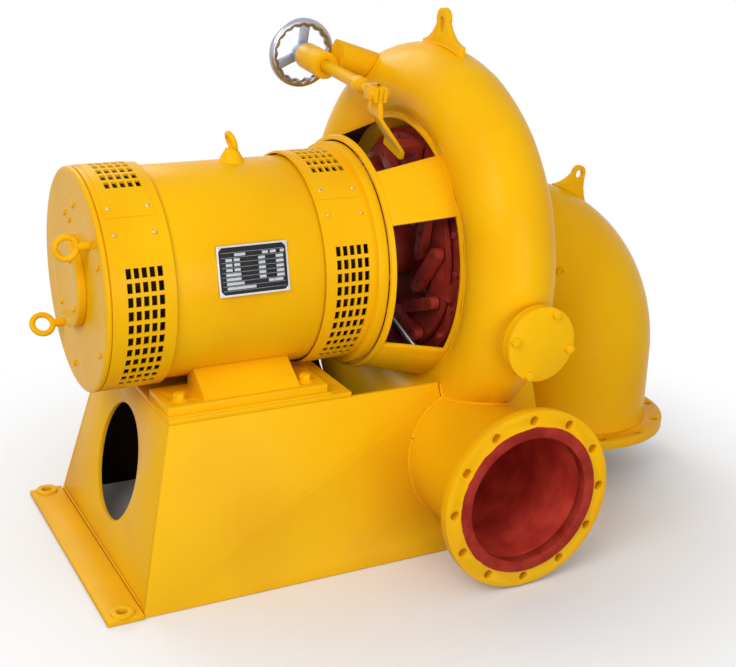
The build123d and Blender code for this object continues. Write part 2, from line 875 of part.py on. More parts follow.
with BuildPart() as regulating_lever:
    with BuildSketch(lever_side):
        with BuildLine():
            half = lever_thickness / 2
            Polyline(
                (lever_foot_x - half, lever_foot_low - 2),
                (lever_foot_x + half, lever_foot_low - 2),
                (lever_foot_x + half, lever_foot_radius + lever_bend_shift),
                (screw_x + half, lever_bend_radius),
                (screw_x + half, lever_tip_radius),
                (screw_x - half, lever_tip_radius),
                (screw_x - half, lever_bend_radius - lever_bend_shift),
                (lever_foot_x - half, lever_foot_radius),
                close=True,
            )
        make_face()
    extrude(amount=lever_foot_width / 2, both=True)
    lever_front = Plane(
        origin=(0, 0, shaft_height),
        x_dir=(0, cos(radians(lever_angle)), sin(radians(lever_angle))),
        z_dir=(1, 0, 0),
    )
    with BuildSketch(lever_front.offset(screw_x - lever_foot_width)):
        with BuildLine():
            Polyline(
                (lever_foot_low - lever_thickness, -lever_foot_width / 2),
                (lever_foot_radius, -lever_foot_width / 2),
                (lever_shoulder_radius, -lever_top_width / 2),
                (lever_tip_radius, -lever_top_width / 2),
                (lever_tip_radius, lever_top_width / 2),
                (lever_shoulder_radius, lever_top_width / 2),
                (lever_foot_radius, lever_foot_width / 2),
                (lever_foot_low - lever_thickness, lever_foot_width / 2),
                close=True,
            )
        make_face()
    extrude(amount=lever_cut_length, mode=Mode.INTERSECT)
    with BuildSketch(lever_front.offset(screw_x - lever_foot_width)):
        with Locations((lever_radius, 0)):
            Circle(fork_pin_radius + lever_pin_clearance)
    extrude(amount=2 * lever_foot_width, mode=Mode.SUBTRACT)
finish(regulating_lever, "regulating_lever")

drain_points = [(x, y, shaft_height + z) for x, y, z in drain_pipe_points]
with BuildPart() as drain_pipe:
    for here, there in zip(drain_points, drain_points[1:]):
        run = Vector(*there) - Vector(*here)
        with BuildSketch(Plane(origin=here, z_dir=run)):
            Circle(drain_pipe_radius)
        extrude(amount=run.length)
        with Locations(there):
            Sphere(drain_pipe_radius)
    plane, length = across(head_cover_start_x - packing_box_length, head_cover_start_x)
    with BuildSketch(plane):
        Circle(packing_box_radius)
    extrude(amount=length, mode=Mode.SUBTRACT)
    add(lantern_cone.part, mode=Mode.SUBTRACT)
    with BuildSketch(across(0, 0)[0]):
        Circle(2 * lantern_large_radius)
        Circle(lantern_small_radius + 2 * lantern_wall, mode=Mode.SUBTRACT)
    extrude(amount=2 * lantern_end_x, mode=Mode.SUBTRACT)
finish(drain_pipe, "drain_pipe")

for number in range(guide_count):
    stem_angle = first_stem_angle + number * 360 / guide_count
    stem_y, stem_z = on_circle(stem_circle, stem_angle)
    pin_y, pin_z = on_circle(pin_circle, stem_angle - pin_lead_angle)
    arm_reach = hypot(pin_y - stem_y, pin_z - stem_z)
    arm_turn = degrees(atan2(pin_z - stem_z, pin_y - stem_y))
    arm_plane = Plane(
        origin=(arm_start_x, stem_y, shaft_height + stem_z),
        x_dir=(0, cos(radians(arm_turn)), sin(radians(arm_turn))),
        z_dir=(1, 0, 0),
    )
    arm_length = arm_reach + arm_tail - arm_width / 2
    with BuildPart() as guide_arm:
        with BuildSketch(arm_plane):
            with Locations((arm_length / 2, 0)):
                SlotCenterToCenter(arm_length, arm_width)
        extrude(amount=arm_thickness)
        with BuildSketch(arm_plane.offset(arm_thickness - groove_depth)):
            with Locations((arm_reach, 0)):
                SlotCenterToCenter(2 * groove_half_travel, 2 * (pin_radius + pin_clearance))
        extrude(amount=groove_depth, mode=Mode.SUBTRACT)
        with BuildSketch(arm_plane):
            for share in arm_hole_shares:
                with Locations((share * arm_reach, 0)):
                    Circle(arm_hole_radius)
        extrude(amount=arm_hole_depth, mode=Mode.SUBTRACT)
        with BuildSketch(arm_plane.offset(arm_thickness)):
            Circle(stem_radius)
        extrude(amount=head_cover_end_x - arm_end_x)
    finish(guide_arm, f"guide_arm_{number + 1:02d}")

# Back of the turbine and the draft tube
with BuildPart() as back_cover:
    plane, length = across(back_cover_start_x, back_cover_start_x + back_cover_thickness)
    with BuildSketch(plane):
        Circle(back_cover_radius)
        Circle(draft_start_radius - draft_wall, mode=Mode.SUBTRACT)
    extrude(amount=length)
    for stretch in casing_outers.values():
        add(stretch, mode=Mode.SUBTRACT)
finish(back_cover, "back_cover")

bend_start_x = draft_axis_x - draft_bend_radius
bend_end_height = shaft_height - draft_bend_radius
bend_steps = 6
draft_flange_top = draft_face_height + draft_flange_thickness


def draft_solid(inset):
    """Draft tube from the back cover, round the bend, to its flange."""
    with BuildPart() as tube:
        plane, length = across(back_cover_start_x + back_cover_thickness, bend_start_x)
        with BuildSketch(plane):
            Circle(draft_start_radius - inset)
        extrude(amount=length)
        for number in range(bend_steps + 1):
            share = number / bend_steps
            angle = radians(90 * share)
            radius = draft_start_radius + share * (draft_end_radius - draft_start_radius)
            section = Plane(
                origin=(
                    bend_start_x + draft_bend_radius * sin(angle),
                    0,
                    bend_end_height + draft_bend_radius * cos(angle),
                ),
                x_dir=(0, 1, 0),
                z_dir=(cos(angle), 0, -sin(angle)),
            )
            with BuildSketch(section):
                Circle(radius - inset)
        loft()
        with BuildSketch(Plane(origin=(draft_axis_x, 0, bend_end_height), z_dir=(0, 0, -1))):
            Circle(draft_end_radius - inset)
        extrude(amount=bend_end_height - draft_flange_top)
    return tube.part


with BuildPart() as draft_elbow:
    add(draft_solid(0))
    add(draft_solid(draft_wall), mode=Mode.SUBTRACT)
finish(draft_elbow, "draft_elbow")

with BuildPart() as neck_flange:
    back_cover_end_x = back_cover_start_x + back_cover_thickness
    plane, length = across(back_cover_end_x, back_cover_end_x + neck_flange_thickness)
    with BuildSketch(plane):
        Circle(neck_flange_radius)
        Circle(draft_start_radius, mode=Mode.SUBTRACT)
    extrude(amount=length)
finish(neck_flange, "neck_flange")

with BuildPart() as draft_flange:
    with BuildSketch(Plane(origin=(draft_axis_x, 0, draft_face_height))):
        Circle(draft_flange_radius)
        Circle(draft_end_radius - draft_wall, mode=Mode.SUBTRACT)
        with PolarLocations(draft_bolt_circle / 2, draft_bolt_count, start_angle=draft_bolt_turn):
            Circle(draft_bolt_radius, mode=Mode.SUBTRACT)
    extrude(amount=draft_flange_thickness)
finish(draft_flange, "draft_flange")

# Lug outlines: points across and up from the shaft line
with BuildPart() as casing_lug:
    lug_start_x = casing_x - lug_thickness / 2
    with BuildSketch(across(lug_start_x, 0)[0]):
        with BuildLine():
            Polyline((-133, 510), (-133, 462), (50, 472), (50, 513))
            ThreePointArc((50, 513), (6, 533), (-19, 566))
            Line((-19, 566), (-61, 566))
            ThreePointArc((-61, 566), (-86, 531), (-133, 510))
        make_face()
        with Locations((-40, 568)):
            Circle(lug_head_radius)
        with Locations((-40, 555)):
            SlotCenterToCenter(lug_slot_length, 2 * lug_hole_radius, rotation=90, mode=Mode.SUBTRACT)
    extrude(amount=lug_thickness)
    add(casing_outers["casing_top"], mode=Mode.SUBTRACT)
finish(casing_lug, "casing_lug")

with BuildPart() as draft_lug:
    lug_plane = Plane(
        origin=(0, draft_lug_thickness / 2, shaft_height),
        x_dir=(1, 0, 0),
        z_dir=(0, -1, 0),
    )
    with BuildSketch(lug_plane):
        with BuildLine():
            Polyline((725, 125), (725, 95), (822, 20), (850, 40))
            ThreePointArc((850, 40), (826, 88), (826, 146))
            Line((826, 146), (797, 166))
            ThreePointArc((797, 166), (770, 139), (725, 125))
        make_face()
        with Locations((806, 150)):
            Circle(draft_lug_head_radius)
        with Locations((806, 146)):
            Circle(lug_hole_radius, mode=Mode.SUBTRACT)
    extrude(amount=draft_lug_thickness)
    add(draft_solid(0), mode=Mode.SUBTRACT)
finish(draft_lug, "draft_lug")

# Hand gear: a wheel turns a screw that draws the lever along
pin_y = lever_radius * cos(radians(lever_angle))
pin_rise = lever_radius * sin(radians(lever_angle))
screw_run = hypot(pin_y - barrel_pivot_y, pin_rise - barrel_pivot_rise)
screw_dir = (0, (pin_y - barrel_pivot_y) / screw_run, (pin_rise - barrel_pivot_rise) / screw_run)
screw_plane = Plane(
    origin=(screw_x, barrel_pivot_y, shaft_height + barrel_pivot_rise),
    x_dir=(1, 0, 0),
    z_dir=screw_dir,
)
rod_bore = spindle_radius + running_clearance

barrel_pivot_height = shaft_height + barrel_pivot_rise
with BuildPart() as barrel_support:
    tube_dir = (cos(radians(support_fall)), 0, -sin(radians(support_fall)))
    support_plane = Plane(
        origin=(support_end_x, barrel_pivot_y, shaft_height + support_rise),
        x_dir=(0, 1, 0),
        z_dir=tube_dir,
    )
    with BuildSketch(support_plane.offset(-support_radius)):
        Circle(support_radius)
    extrude(amount=support_radius + support_reach)
    split(bisect_by=Plane.YZ.offset(support_end_x), keep=Keep.TOP)
    add(casing_outers["casing_top"], mode=Mode.SUBTRACT)
    add(casing_outers["casing_far"], mode=Mode.SUBTRACT)
    pin_back = barrel_radius - pivot_pin_depth
    pivot_plane = Plane(
        origin=(screw_x + pin_back, barrel_pivot_y, barrel_pivot_height),
        x_dir=(0, 1, 0),
        z_dir=(1, 0, 0),
    )
    with BuildSketch(pivot_plane):
        Circle(pivot_pin_radius)
    extrude(amount=support_end_x + pivot_pin_root - screw_x - pin_back)
finish(barrel_support, "barrel_support")

with BuildPart() as screw_barrel:
    with BuildSketch(screw_plane.offset(-barrel_back)):
        Circle(barrel_radius)
    extrude(amount=barrel_back + barrel_front)
    with BuildSketch(screw_plane.offset(-barrel_back + barrel_rear_wall)):
        Circle(rod_radius + running_clearance)
    extrude(amount=barrel_back + barrel_front - barrel_rear_wall, mode=Mode.SUBTRACT)
    with BuildSketch(screw_plane.offset(-barrel_back)):
        Circle(spindle_radius + running_clearance)
    extrude(amount=barrel_rear_wall, mode=Mode.SUBTRACT)
    with BuildSketch(pivot_plane.offset(-pivot_pin_play)):
        Circle(pivot_pin_radius + running_clearance)
    extrude(amount=pivot_pin_play + pivot_pin_depth + pivot_pin_play, mode=Mode.SUBTRACT)
finish(screw_barrel, "screw_barrel")

with BuildPart() as screw_spindle:
    with BuildSketch(screw_plane.offset(-wheel_offset - spindle_nose)):
        Circle(spindle_radius)
    extrude(amount=wheel_offset + spindle_nose + spindle_length)
finish(screw_spindle, "screw_spindle")

rim_circle = wheel_radius - wheel_rim_radius
with BuildPart() as handwheel:
    with BuildSketch(screw_plane.offset(-wheel_offset - hub_nose)):
        Circle(hub_radius)
        Circle(spindle_radius, mode=Mode.SUBTRACT)
    extrude(amount=wheel_offset + hub_nose - barrel_back - hub_gap)
    with Locations(screw_plane.offset(-wheel_offset)):
        Torus(rim_circle, wheel_rim_radius)
    with BuildSketch(screw_plane.offset(-wheel_offset - spoke_thickness / 2)):
        with PolarLocations(0, wheel_spoke_count, start_angle=90):
            with Locations((rim_circle / 2, 0)):
                Rectangle(rim_circle, spoke_width)
        Circle(spindle_radius, mode=Mode.SUBTRACT)
    extrude(amount=spoke_thickness)
finish(handwheel, "handwheel")

with BuildPart() as screw_rod:
    fork_start = screw_run - fork_length
    with BuildSketch(screw_plane.offset(-rod_tail)):
        Circle(rod_radius)
    extrude(amount=rod_tail + fork_start - rod_collar_length)
    with BuildSketch(screw_plane.offset(fork_start - rod_collar_length - rod_collar_setback)):
        Circle(rod_collar_radius)
    extrude(amount=rod_collar_length)
    with BuildSketch(screw_plane.offset(fork_start - fork_shank_length)):
        Circle(fork_shank_radius)
    extrude(amount=fork_shank_length)
    with BuildSketch(screw_plane.offset(fork_start)):
        Rectangle(fork_gap + 2 * fork_cheek, fork_width)
    extrude(amount=fork_length + fork_tip)
    with BuildSketch(screw_plane.offset(fork_start + fork_root)):
        Rectangle(fork_gap, 2 * fork_width)
    extrude(amount=fork_length + fork_tip, mode=Mode.SUBTRACT)
    with BuildSketch(screw_plane.offset(-rod_tail)):
        Circle(rod_bore)
    extrude(amount=rod_tail + rod_bore_length, mode=Mode.SUBTRACT)
    fork_plane = Plane(
        origin=(screw_x, pin_y, shaft_height + pin_rise),
        x_dir=(0, 1, 0),
        z_dir=(1, 0, 0),
    )
    pin_half_length = fork_gap / 2 + fork_cheek + fork_pin_nose
    with BuildSketch(fork_plane.offset(-pin_half_length)):
        Circle(fork_pin_radius)
    extrude(amount=2 * pin_half_length)
finish(screw_rod, "screw_rod")
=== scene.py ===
# %% [markdown]
# # A small hydroelectric generator
# This lesson dresses a packed CAD model of a water turbine and its generator. The CAD
# gives each piece its place and its motion. The script adds what a drawing leaves out:
# paint, bolt heads, weld beads, a cast handwheel and the soft shape of rolled plate.
# Everything is in metres. The shaft runs along X, Z is up and the inlet faces -Y.

# %% Load the packed model
import json
import math

import bmesh
import bpy
import numpy as np
from mathutils import Matrix, Vector


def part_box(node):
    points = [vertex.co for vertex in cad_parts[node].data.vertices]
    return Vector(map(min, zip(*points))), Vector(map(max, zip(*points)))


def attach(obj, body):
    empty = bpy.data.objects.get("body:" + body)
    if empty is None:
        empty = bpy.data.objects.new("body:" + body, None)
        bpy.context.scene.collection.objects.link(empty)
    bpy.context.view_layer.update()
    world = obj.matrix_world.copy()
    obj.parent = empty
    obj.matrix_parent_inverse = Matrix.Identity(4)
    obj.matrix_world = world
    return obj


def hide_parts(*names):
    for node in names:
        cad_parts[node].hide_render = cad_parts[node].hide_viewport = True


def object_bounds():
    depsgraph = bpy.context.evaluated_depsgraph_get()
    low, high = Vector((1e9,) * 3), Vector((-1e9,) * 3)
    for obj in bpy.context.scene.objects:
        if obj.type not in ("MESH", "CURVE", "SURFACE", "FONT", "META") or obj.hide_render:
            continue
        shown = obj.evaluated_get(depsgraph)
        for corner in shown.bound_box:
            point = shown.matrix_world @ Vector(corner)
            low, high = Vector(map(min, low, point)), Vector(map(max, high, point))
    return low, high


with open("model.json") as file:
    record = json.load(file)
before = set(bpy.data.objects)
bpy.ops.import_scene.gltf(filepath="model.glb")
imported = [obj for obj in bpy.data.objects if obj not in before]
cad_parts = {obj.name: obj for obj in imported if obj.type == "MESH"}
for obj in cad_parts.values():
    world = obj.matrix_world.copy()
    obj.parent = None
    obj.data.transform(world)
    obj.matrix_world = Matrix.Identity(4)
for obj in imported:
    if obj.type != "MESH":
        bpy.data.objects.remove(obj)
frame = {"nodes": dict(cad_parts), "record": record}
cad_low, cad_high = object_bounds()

nodes = frame["nodes"]

# %% [markdown]
# ## Shader maths
# A finish is a graph of nodes. Arithmetic is easier to read than wiring, so a small
# class wraps one output socket, and an expression such as `1 - mask` adds Math nodes.

# %% A socket with arithmetic
class Link:
    """One output socket of a shader tree."""

    def __init__(self, tree, socket):
        self.tree, self.socket = tree, socket

    def node(self, kind, settings=None, sockets=None, out=0):
        """Add a node: its settings first, then the values or links of its sockets."""
        made = self.tree.nodes.new(kind)
        for name, value in (settings or {}).items():
            setattr(made, name, value)
        for key, value in (sockets or {}).items():
            if isinstance(value, Link):
                self.tree.links.new(value.socket, made.inputs[key])
            else:
                made.inputs[key].default_value = value
        return Link(self.tree, made.outputs[out] if len(made.outputs) else None)

    def maths(self, operation, *values):
        """A Math node on this socket and up to two more values."""
        return self.node(
            "ShaderNodeMath", {"operation": operation}, dict(enumerate((self, *values)))
        )

    def turned(self, operation, value):
        """The same with the plain value first, for 1 - mask and the like."""
        return self.node("ShaderNodeMath", {"operation": operation}, {0: value, 1: self})

    def __add__(self, other):
        return self.maths("ADD", other)

    def __sub__(self, other):
        return self.maths("SUBTRACT", other)

    def __mul__(self, other):
        return self.maths("MULTIPLY", other)

    def __radd__(self, other):
        return self.turned("ADD", other)

    def __rsub__(self, other):
        return self.turned("SUBTRACT", other)

    def __rmul__(self, other):
        return self.turned("MULTIPLY", other)

    def step(self, low, high):
        """0 below low, 1 above high and a smooth rise between them."""
        return self.node(
            "ShaderNodeMapRange",
            {"interpolation_type": "SMOOTHSTEP"},
            {"Value": self, "From Min": low, "From Max": high},
        )

    def above(self, limit, soft=0.0005):
        """0 below a limit and 1 above it, with a rise that reaches soft to each side."""
        return self.step(limit - soft, limit + soft)

    def below(self, limit, soft=0.0005):
        """The reverse: 1 - above."""
        return 1 - self.above(limit, soft)


print("Link has", len(vars(Link)), "methods and names")


# %% Start and end of a material
def start_finish(name):
    """New material; returns it with a Link to the place on the object, in metres."""
    material = bpy.data.materials.new(name)
    material.use_nodes = True
    material.node_tree.nodes.clear()
    place = Link(material.node_tree, None).node("ShaderNodeTexCoord", out=3)
    return material, place


def end_finish(material, place, colour, rough, normal, more):
    """One Principled shader with these and more sockets, wired to the output."""
    sockets = {"Base Color": colour, "Roughness": rough, "Normal": normal, **more}
    shader = place.node("ShaderNodeBsdfPrincipled", None, sockets)
    place.node("ShaderNodeOutputMaterial", None, {"Surface": shader})
    return material


def noise(place, scale, detail=3.0, rough=0.55):
    """Soft noise from 0 to 1, with features about 1 / scale metres across."""
    sockets = {"Vector": place, "Scale": scale, "Detail": detail, "Roughness": rough}
    return place.node("ShaderNodeTexNoise", None, sockets)


def mix(factor, low, high):
    """Colour between low and high, each a colour or a Link to one."""
    low, high = (c if isinstance(c, Link) else (*c, 1.0) for c in (low, high))
    sockets = {0: factor, 6: low, 7: high}
    return factor.node("ShaderNodeMix", {"data_type": "RGBA"}, sockets, out=2)


def bump(height, distance, strength=1.0):
    """Normal from a height of 0 to 1 that stands for distance metres."""
    sockets = {"Height": height, "Distance": distance, "Strength": strength}
    return height.node("ShaderNodeBump", None, sockets)


def axes_of(place):
    """The three coordinates of a place as numbers."""
    return [place.node("ShaderNodeSeparateXYZ", None, {0: place}, out=n) for n in range(3)]


def distance_from(first, second, middle):
    """Distance from a line, in the plane of two coordinates."""
    square = [(c - m) * (c - m) for c, m in zip((first, second), middle)]
    return (square[0] + square[1]).maths("SQRT")


print("materials so far:", len(bpy.data.materials))

# %% [markdown]
# ## Paint
# The machine was sprayed with one yellow enamel after it was put together, bolts and
# all. Sprayed enamel has a soft orange-peel ripple, and it goes deeper in patches where
# the coat is thicker. Three sizes of noise give the ripple, the waves of the plate under
# it and the patches. The paint turns darker and duller towards the floor. A low specular
# level keeps the yellow deep where the white room is mirrored in it.

# %% Yellow enamel
paint_base = (0.90, 0.485, 0.004)
paint_deep = (0.85, 0.42, 0.003)
paint_low_dark = (0.52, 0.29, 0.05)
paint_shine = {"Specular IOR Level": 0.055}
paint_ripple = 0.0006


def enamel(name, inner=None):
    """Sprayed paint. inner(place, x, y, z) may give a mask and a colour to show there."""
    material, place = start_finish(name)
    x, y, z = axes_of(place)
    patches = noise(place, 2.6, 2.0).step(0.38, 0.72)
    colour = mix(patches, paint_base, paint_deep)
    # Darker, duller paint in patches towards the floor.
    low_darkening = (noise(place, 5.0, 4.0) * 0.30) * (1 - z.step(0.02, 0.34))
    colour = mix(low_darkening, colour, paint_low_dark)
    rough = noise(place, 7.0) * 0.16 + low_darkening * 0.5 + 0.20
    if inner:
        mask, shade = inner(place, x, y, z)
        colour = mix(mask, colour, shade)
        rough = rough + mask * 0.15
    height = noise(place, 240.0, 1.5) * 0.35 + noise(place, 17.0, 1.0)
    normal = bump(height, paint_ripple, 0.22)
    return end_finish(material, place, colour, rough, normal, paint_shine)


yellow = enamel("yellow_enamel")
print("paint:", yellow.name)

# %% [markdown]
# The raised face of the inlet was brushed with red primer by hand, so its edge wanders.
# Behind the vents the generator's core is dark windings, deepened by painted shade,
# and the inside of the base and of the lantern is painted shade. Each of these is a
# mask on the same enamel, worked out from the place of the point, so no piece has to
# be cut in two for its colours.

# %% Red on the inlet and on the stay ring
primer_dark = (0.24, 0.016, 0.010)
primer_light = (0.40, 0.040, 0.024)
inlet_x, inlet_z = 0.306, 0.224
face_y, face_radius, bore_radius = -0.586, 0.1847, 0.159


def primer_cloud(place, scale=14.0, gain=1.0):
    """Cloudy brushed red between the dark and the light shade, both times gain."""
    dark, light = (tuple(gain * c for c in shade) for shade in (primer_dark, primer_light))
    return mix(noise(place, scale, 5.0).step(0.3, 0.75), dark, light)


def red_face(place, x, y, z):
    """Red inside a wandering circle on the front of the inlet flange, and in its bore."""
    wander = noise(place, 26.0, 2.0) * 0.006
    out = distance_from(x, z, (inlet_x, inlet_z)) + wander
    ring = out.below(face_radius) * y.below(face_y, 0.0002)
    return ring.maths("MAXIMUM", out.below(bore_radius)), primer_cloud(place, 18.0)


def red_inside(place, x, y, z):
    """Red in front of the middle of the casing, where the guide gear sits."""
    return x.below(0.3475, 0.0025), primer_cloud(place)


flange_paint = enamel("flange_enamel", red_face)
stay_paint = enamel("stay_enamel", red_inside)
print("red masks:", flange_paint.name, stay_paint.name)

# %% Dark windings and painted shade inside the generator, the base and the lantern
shaft_height, base_height = 0.690, 0.413
side_lean, front_lean, rear_lean = (run / base_height for run in (0.090, 0.099, 0.040))
lantern_x, lantern_radius, lantern_wall = 0.089, 0.288, 0.010
lantern_lean = 0.050 / 0.179


def dark_core_and_painted_shade(place, x, y, z):
    """Nearly black behind the vented shrouds at both ends of the body: the dark windings,
    deepened by painted shade.
    """
    return x.below(-0.427).maths("MAXIMUM", x.above(-0.056)), (0.028, 0.018, 0.008)


def painted_shade_in_base(place, x, y, z):
    """Painted shade, nearly black, inside the box of the base, up to its sloping inner faces.
    """
    wide = y.maths("ABSOLUTE") + z * side_lean
    along = (x - z * front_lean).above(-0.5375) * (x + z * rear_lean).below(0.5375)
    inside = wide.below(0.3475) * along * z.below(base_height + 0.0006, 0.0002)
    return inside, (0.030, 0.014, 0.007)


def painted_shade_in_lantern(place, x, y, z):
    """Painted shade, dark brown-red, inside the cone of the lantern, behind its front face.
    """
    out = distance_from(y, z, (0.0, shaft_height)) - (x - lantern_x) * lantern_lean
    inside = out.below(lantern_radius - lantern_wall + 0.0006, 0.0002)
    return inside * x.above(lantern_x - 0.0005, 0.0003), (0.045, 0.010, 0.007)


lantern_paint_shaded = enamel("lantern_enamel_painted_shade", painted_shade_in_lantern)
body_paint_with_shade = enamel("body_enamel_with_painted_shade", dark_core_and_painted_shade)
base_paint_shaded = enamel("base_enamel_painted_shade", painted_shade_in_base)
print("dark masks:", lantern_paint_shaded.name, body_paint_with_shade.name, base_paint_shaded.name)

# %% Red primer
def primer(name, gain=1.0):
    """Brushed red oxide primer: cloudy, with brush strokes and wet-looking patches."""
    material, place = start_finish(name)
    colour = primer_cloud(place, gain=gain)
    rough = noise(place, 30.0) * 0.3 + 0.25
    strokes = bump(noise(place, 90.0, 4.0, 0.65), 0.0008, 0.5)
    return end_finish(material, place, colour, rough, strokes, {"Coat Weight": 0.2})


red = primer("red_primer")
# The lining is the same primer at 1.9 times the brightness: painted light in the inlet's
# bore.
lit_bore_red = primer("bore_primer_painted_light", 1.9)
print("primers:", red.name, lit_bore_red.name)

# %% [markdown]
# ## Bare metals
# Only the handwheel, the zinc screws, the nameplate and the shaft are bare. Each is a
# metal with fine marks: the marks change its colour, its roughness and its bump together.

# %% Metals
def metal(name, shade, rough, grain):
    """Bare metal with fine machining marks."""
    material, place = start_finish(name)
    marks = noise(place, grain, 4.0)
    colour = mix(marks, shade, tuple(0.72 * c for c in shade))
    normal = bump(marks, 0.0002, 0.4)
    return end_finish(material, place, colour, marks * 0.2 + rough, normal, {"Metallic": 1.0})


steel = metal("machined_steel", (0.50, 0.49, 0.47), 0.28, 320.0)
chrome = metal("polished_rim", (0.46, 0.47, 0.53), 0.20, 60.0)
cast = metal("cast_spokes", (0.42, 0.48, 0.62), 0.46, 90.0)
zinc = metal("zinc_screws", (0.62, 0.61, 0.58), 0.30, 500.0)
satin = metal("nameplate_border", (0.56, 0.56, 0.58), 0.42, 400.0)
print("metals:", steel.name, chrome.name, cast.name, zinc.name, satin.name)


# %% Oversprayed screws
def oversprayed(name):
    """Zinc screws with yellow overspray on part of each head."""
    material, place = start_finish(name)
    bare = noise(place, 90.0, 2.0).step(0.42, 0.56)
    colour = mix(bare, paint_base, (0.42, 0.40, 0.37))
    rough = noise(place, 300.0) * 0.2 + 0.25
    normal = bump(noise(place, 500.0), 0.0002, 0.4)
    more = {"Metallic": bare * 0.9, "Specular IOR Level": 0.3}
    return end_finish(material, place, colour, rough, normal, more)


screw_zinc = oversprayed("oversprayed_zinc")
print("screws:", screw_zinc.name)


# %% Printed inks
def flat_print(name, shade, rough):
    """Thin printed ink on the nameplate, slightly uneven."""
    material, place = start_finish(name)
    wear = noise(place, 160.0, 3.0)
    colour = mix(wear, shade, tuple(0.7 * c + 0.01 for c in shade))
    rough, normal = wear * 0.2 + rough, bump(wear, 0.0001, 0.3)
    return end_finish(material, place, colour, rough, normal, {"Specular IOR Level": 0.12})


black_ink = flat_print("black_ink", (0.012, 0.012, 0.014), 0.30)
white_ink = flat_print("blank_field", (0.62, 0.65, 0.70), 0.35)
print("inks:", black_ink.name, white_ink.name)

# %% [markdown]
# ## CAD pieces
# The packed pieces have hard edges. On the real machine each edge is ground and holds a
# bead of paint. Modifiers merge the loose triangles, join the flat ones and round the
# edges, and the CAD mesh under them stays as it is.

# %% Which finish goes on which piece
slot_finish = {
    "yellow_paint": yellow,
    "red_primer": red,
    "plate": satin,
    "chrome": chrome,
    "steel": steel,
}
slots = {part["node"]: part["material_slot"] for part in frame["record"]["subparts"]}
special_finish = {
    "inlet_flange": flange_paint,
    "generator_body": body_paint_with_shade,
    "stay_ring": stay_paint,
}
for side in ("near", "far", "front", "rear", "top"):
    special_finish[f"base_{side}_plate"] = base_paint_shaded
for name in ("lantern_rings", "lantern_webs", "generator_flange"):
    special_finish[name] = lantern_paint_shaded
print(len(slots), "slots,", len(special_finish), "pieces with a finish of their own")


# %% Smooth shading with sharp edges
sharp_edge = 0.56


def smooth_shading():
    """Node group that shades a mesh smooth, except across edges above the sharp angle."""
    group = bpy.data.node_groups.new("smooth_shading", "GeometryNodeTree")
    group.interface.new_socket("Mesh", in_out="INPUT", socket_type="NodeSocketGeometry")
    group.interface.new_socket("Mesh", in_out="OUTPUT", socket_type="NodeSocketGeometry")
    tree = Link(group, None)
    source = tree.node("NodeGroupInput")
    faces = tree.node("GeometryNodeSetShadeSmooth", {"domain": "FACE"}, {0: source})
    angle = tree.node("GeometryNodeInputMeshEdgeAngle")
    greater = {"operation": "GREATER_THAN"}
    sharp = tree.node("FunctionNodeCompare", greater, {0: angle, 1: sharp_edge})
    sockets = {0: faces, 1: sharp, 2: False}
    edges = tree.node("GeometryNodeSetShadeSmooth", {"domain": "EDGE"}, sockets)
    last = group.nodes.new("NodeGroupOutput")
    group.links.new(edges.socket, last.inputs[0])
    return group


shading = smooth_shading()
print("sharp above", round(math.degrees(sharp_edge)), "degrees")


# %% Rounded edges
def soften(piece, width):
    """Merge the triangles, join the flat ones, round the edges and shade them smooth."""
    weld = piece.modifiers.new("merge", "WELD")
    weld.merge_threshold = 0.00002
    flat = piece.modifiers.new("flat", "DECIMATE")
    flat.decimate_type = "DISSOLVE"
    flat.angle_limit = math.radians(0.8)
    bevel = piece.modifiers.new("edges", "BEVEL")
    bevel.width = width
    bevel.segments = 2
    bevel.limit_method = "ANGLE"
    bevel.angle_limit = math.radians(40)
    bevel.use_clamp_overlap = False
    bevel.loop_slide = False
    smooth = piece.modifiers.new("shade", "NODES")
    smooth.node_group = shading


rounded_by_width = {
    0.0020: (
        "base_near_plate", "base_far_plate", "base_rear_plate", "base_top_plate",
        "base_feet", "casing_lug", "draft_lug",
    ),
    0.0015: (
        "base_front_plate", "generator_feet", "generator_flange", "hatch_cover",
        "draft_flange", "back_cover", "neck_flange", "screw_barrel",
    ),
    0.0012: ("inlet_flange",),
    0.0010: ("lantern_rings", "lantern_webs", "generator_body"),
    0.0008: ("screw_rod",),
}
edge_width = {name: width for width, names in rounded_by_width.items() for name in names}
for name, piece in nodes.items():
    piece.data.materials.clear()
    piece.data.materials.append(special_finish.get(name) or slot_finish[slots[name]])
    if name in edge_width:
        soften(piece, edge_width[name])
print("rounded edges on", len(edge_width), "pieces")

# %% [markdown]
# ## Surfaces from arrays
# Every new piece is a grid of points worked out with numpy: rows run along a profile or
# a path, and columns run round it. A stack of grids gives many copies at once, such as
# a set of bolts. Four neighbours make a face, and the last column joins the first.

# %% Grids to meshes
def points_of(x, y, z):
    """Points from their coordinates, each a number or an array."""
    return np.stack(np.broadcast_arrays(x, y, z), axis=-1)


def full_turn(count):
    """Angles once round, without the last, which is the first again."""
    return np.linspace(0, 2 * np.pi, count, endpoint=False)


def lattice(points, close_rows=False):
    """Faces between neighbours of a grid (rows, columns, 3) or a stack of such grids."""
    points = np.asarray(points, float)
    points = points[None] if points.ndim == 3 else points
    number = np.arange(points[..., 0].size).reshape(points.shape[:3])
    if close_rows:
        number = np.concatenate([number, number[:, :1]], axis=1)
    number = np.concatenate([number, number[:, :, :1]], axis=2)
    left, right = number[:, :, :-1], number[:, :, 1:]
    corners = [left[:, :-1], right[:, :-1], right[:, 1:], left[:, 1:]]
    return points.reshape(-1, 3), np.stack(corners, axis=-1).reshape(-1, 4)


print("two rows of six make", len(lattice(np.zeros((2, 6, 3)))[1]), "faces")


# %% Meshes to pieces
def add_object(name, data):
    """A new object in the scene, for a mesh, a lamp or a camera."""
    made = bpy.data.objects.new(name, data)
    bpy.context.scene.collection.objects.link(made)
    return made


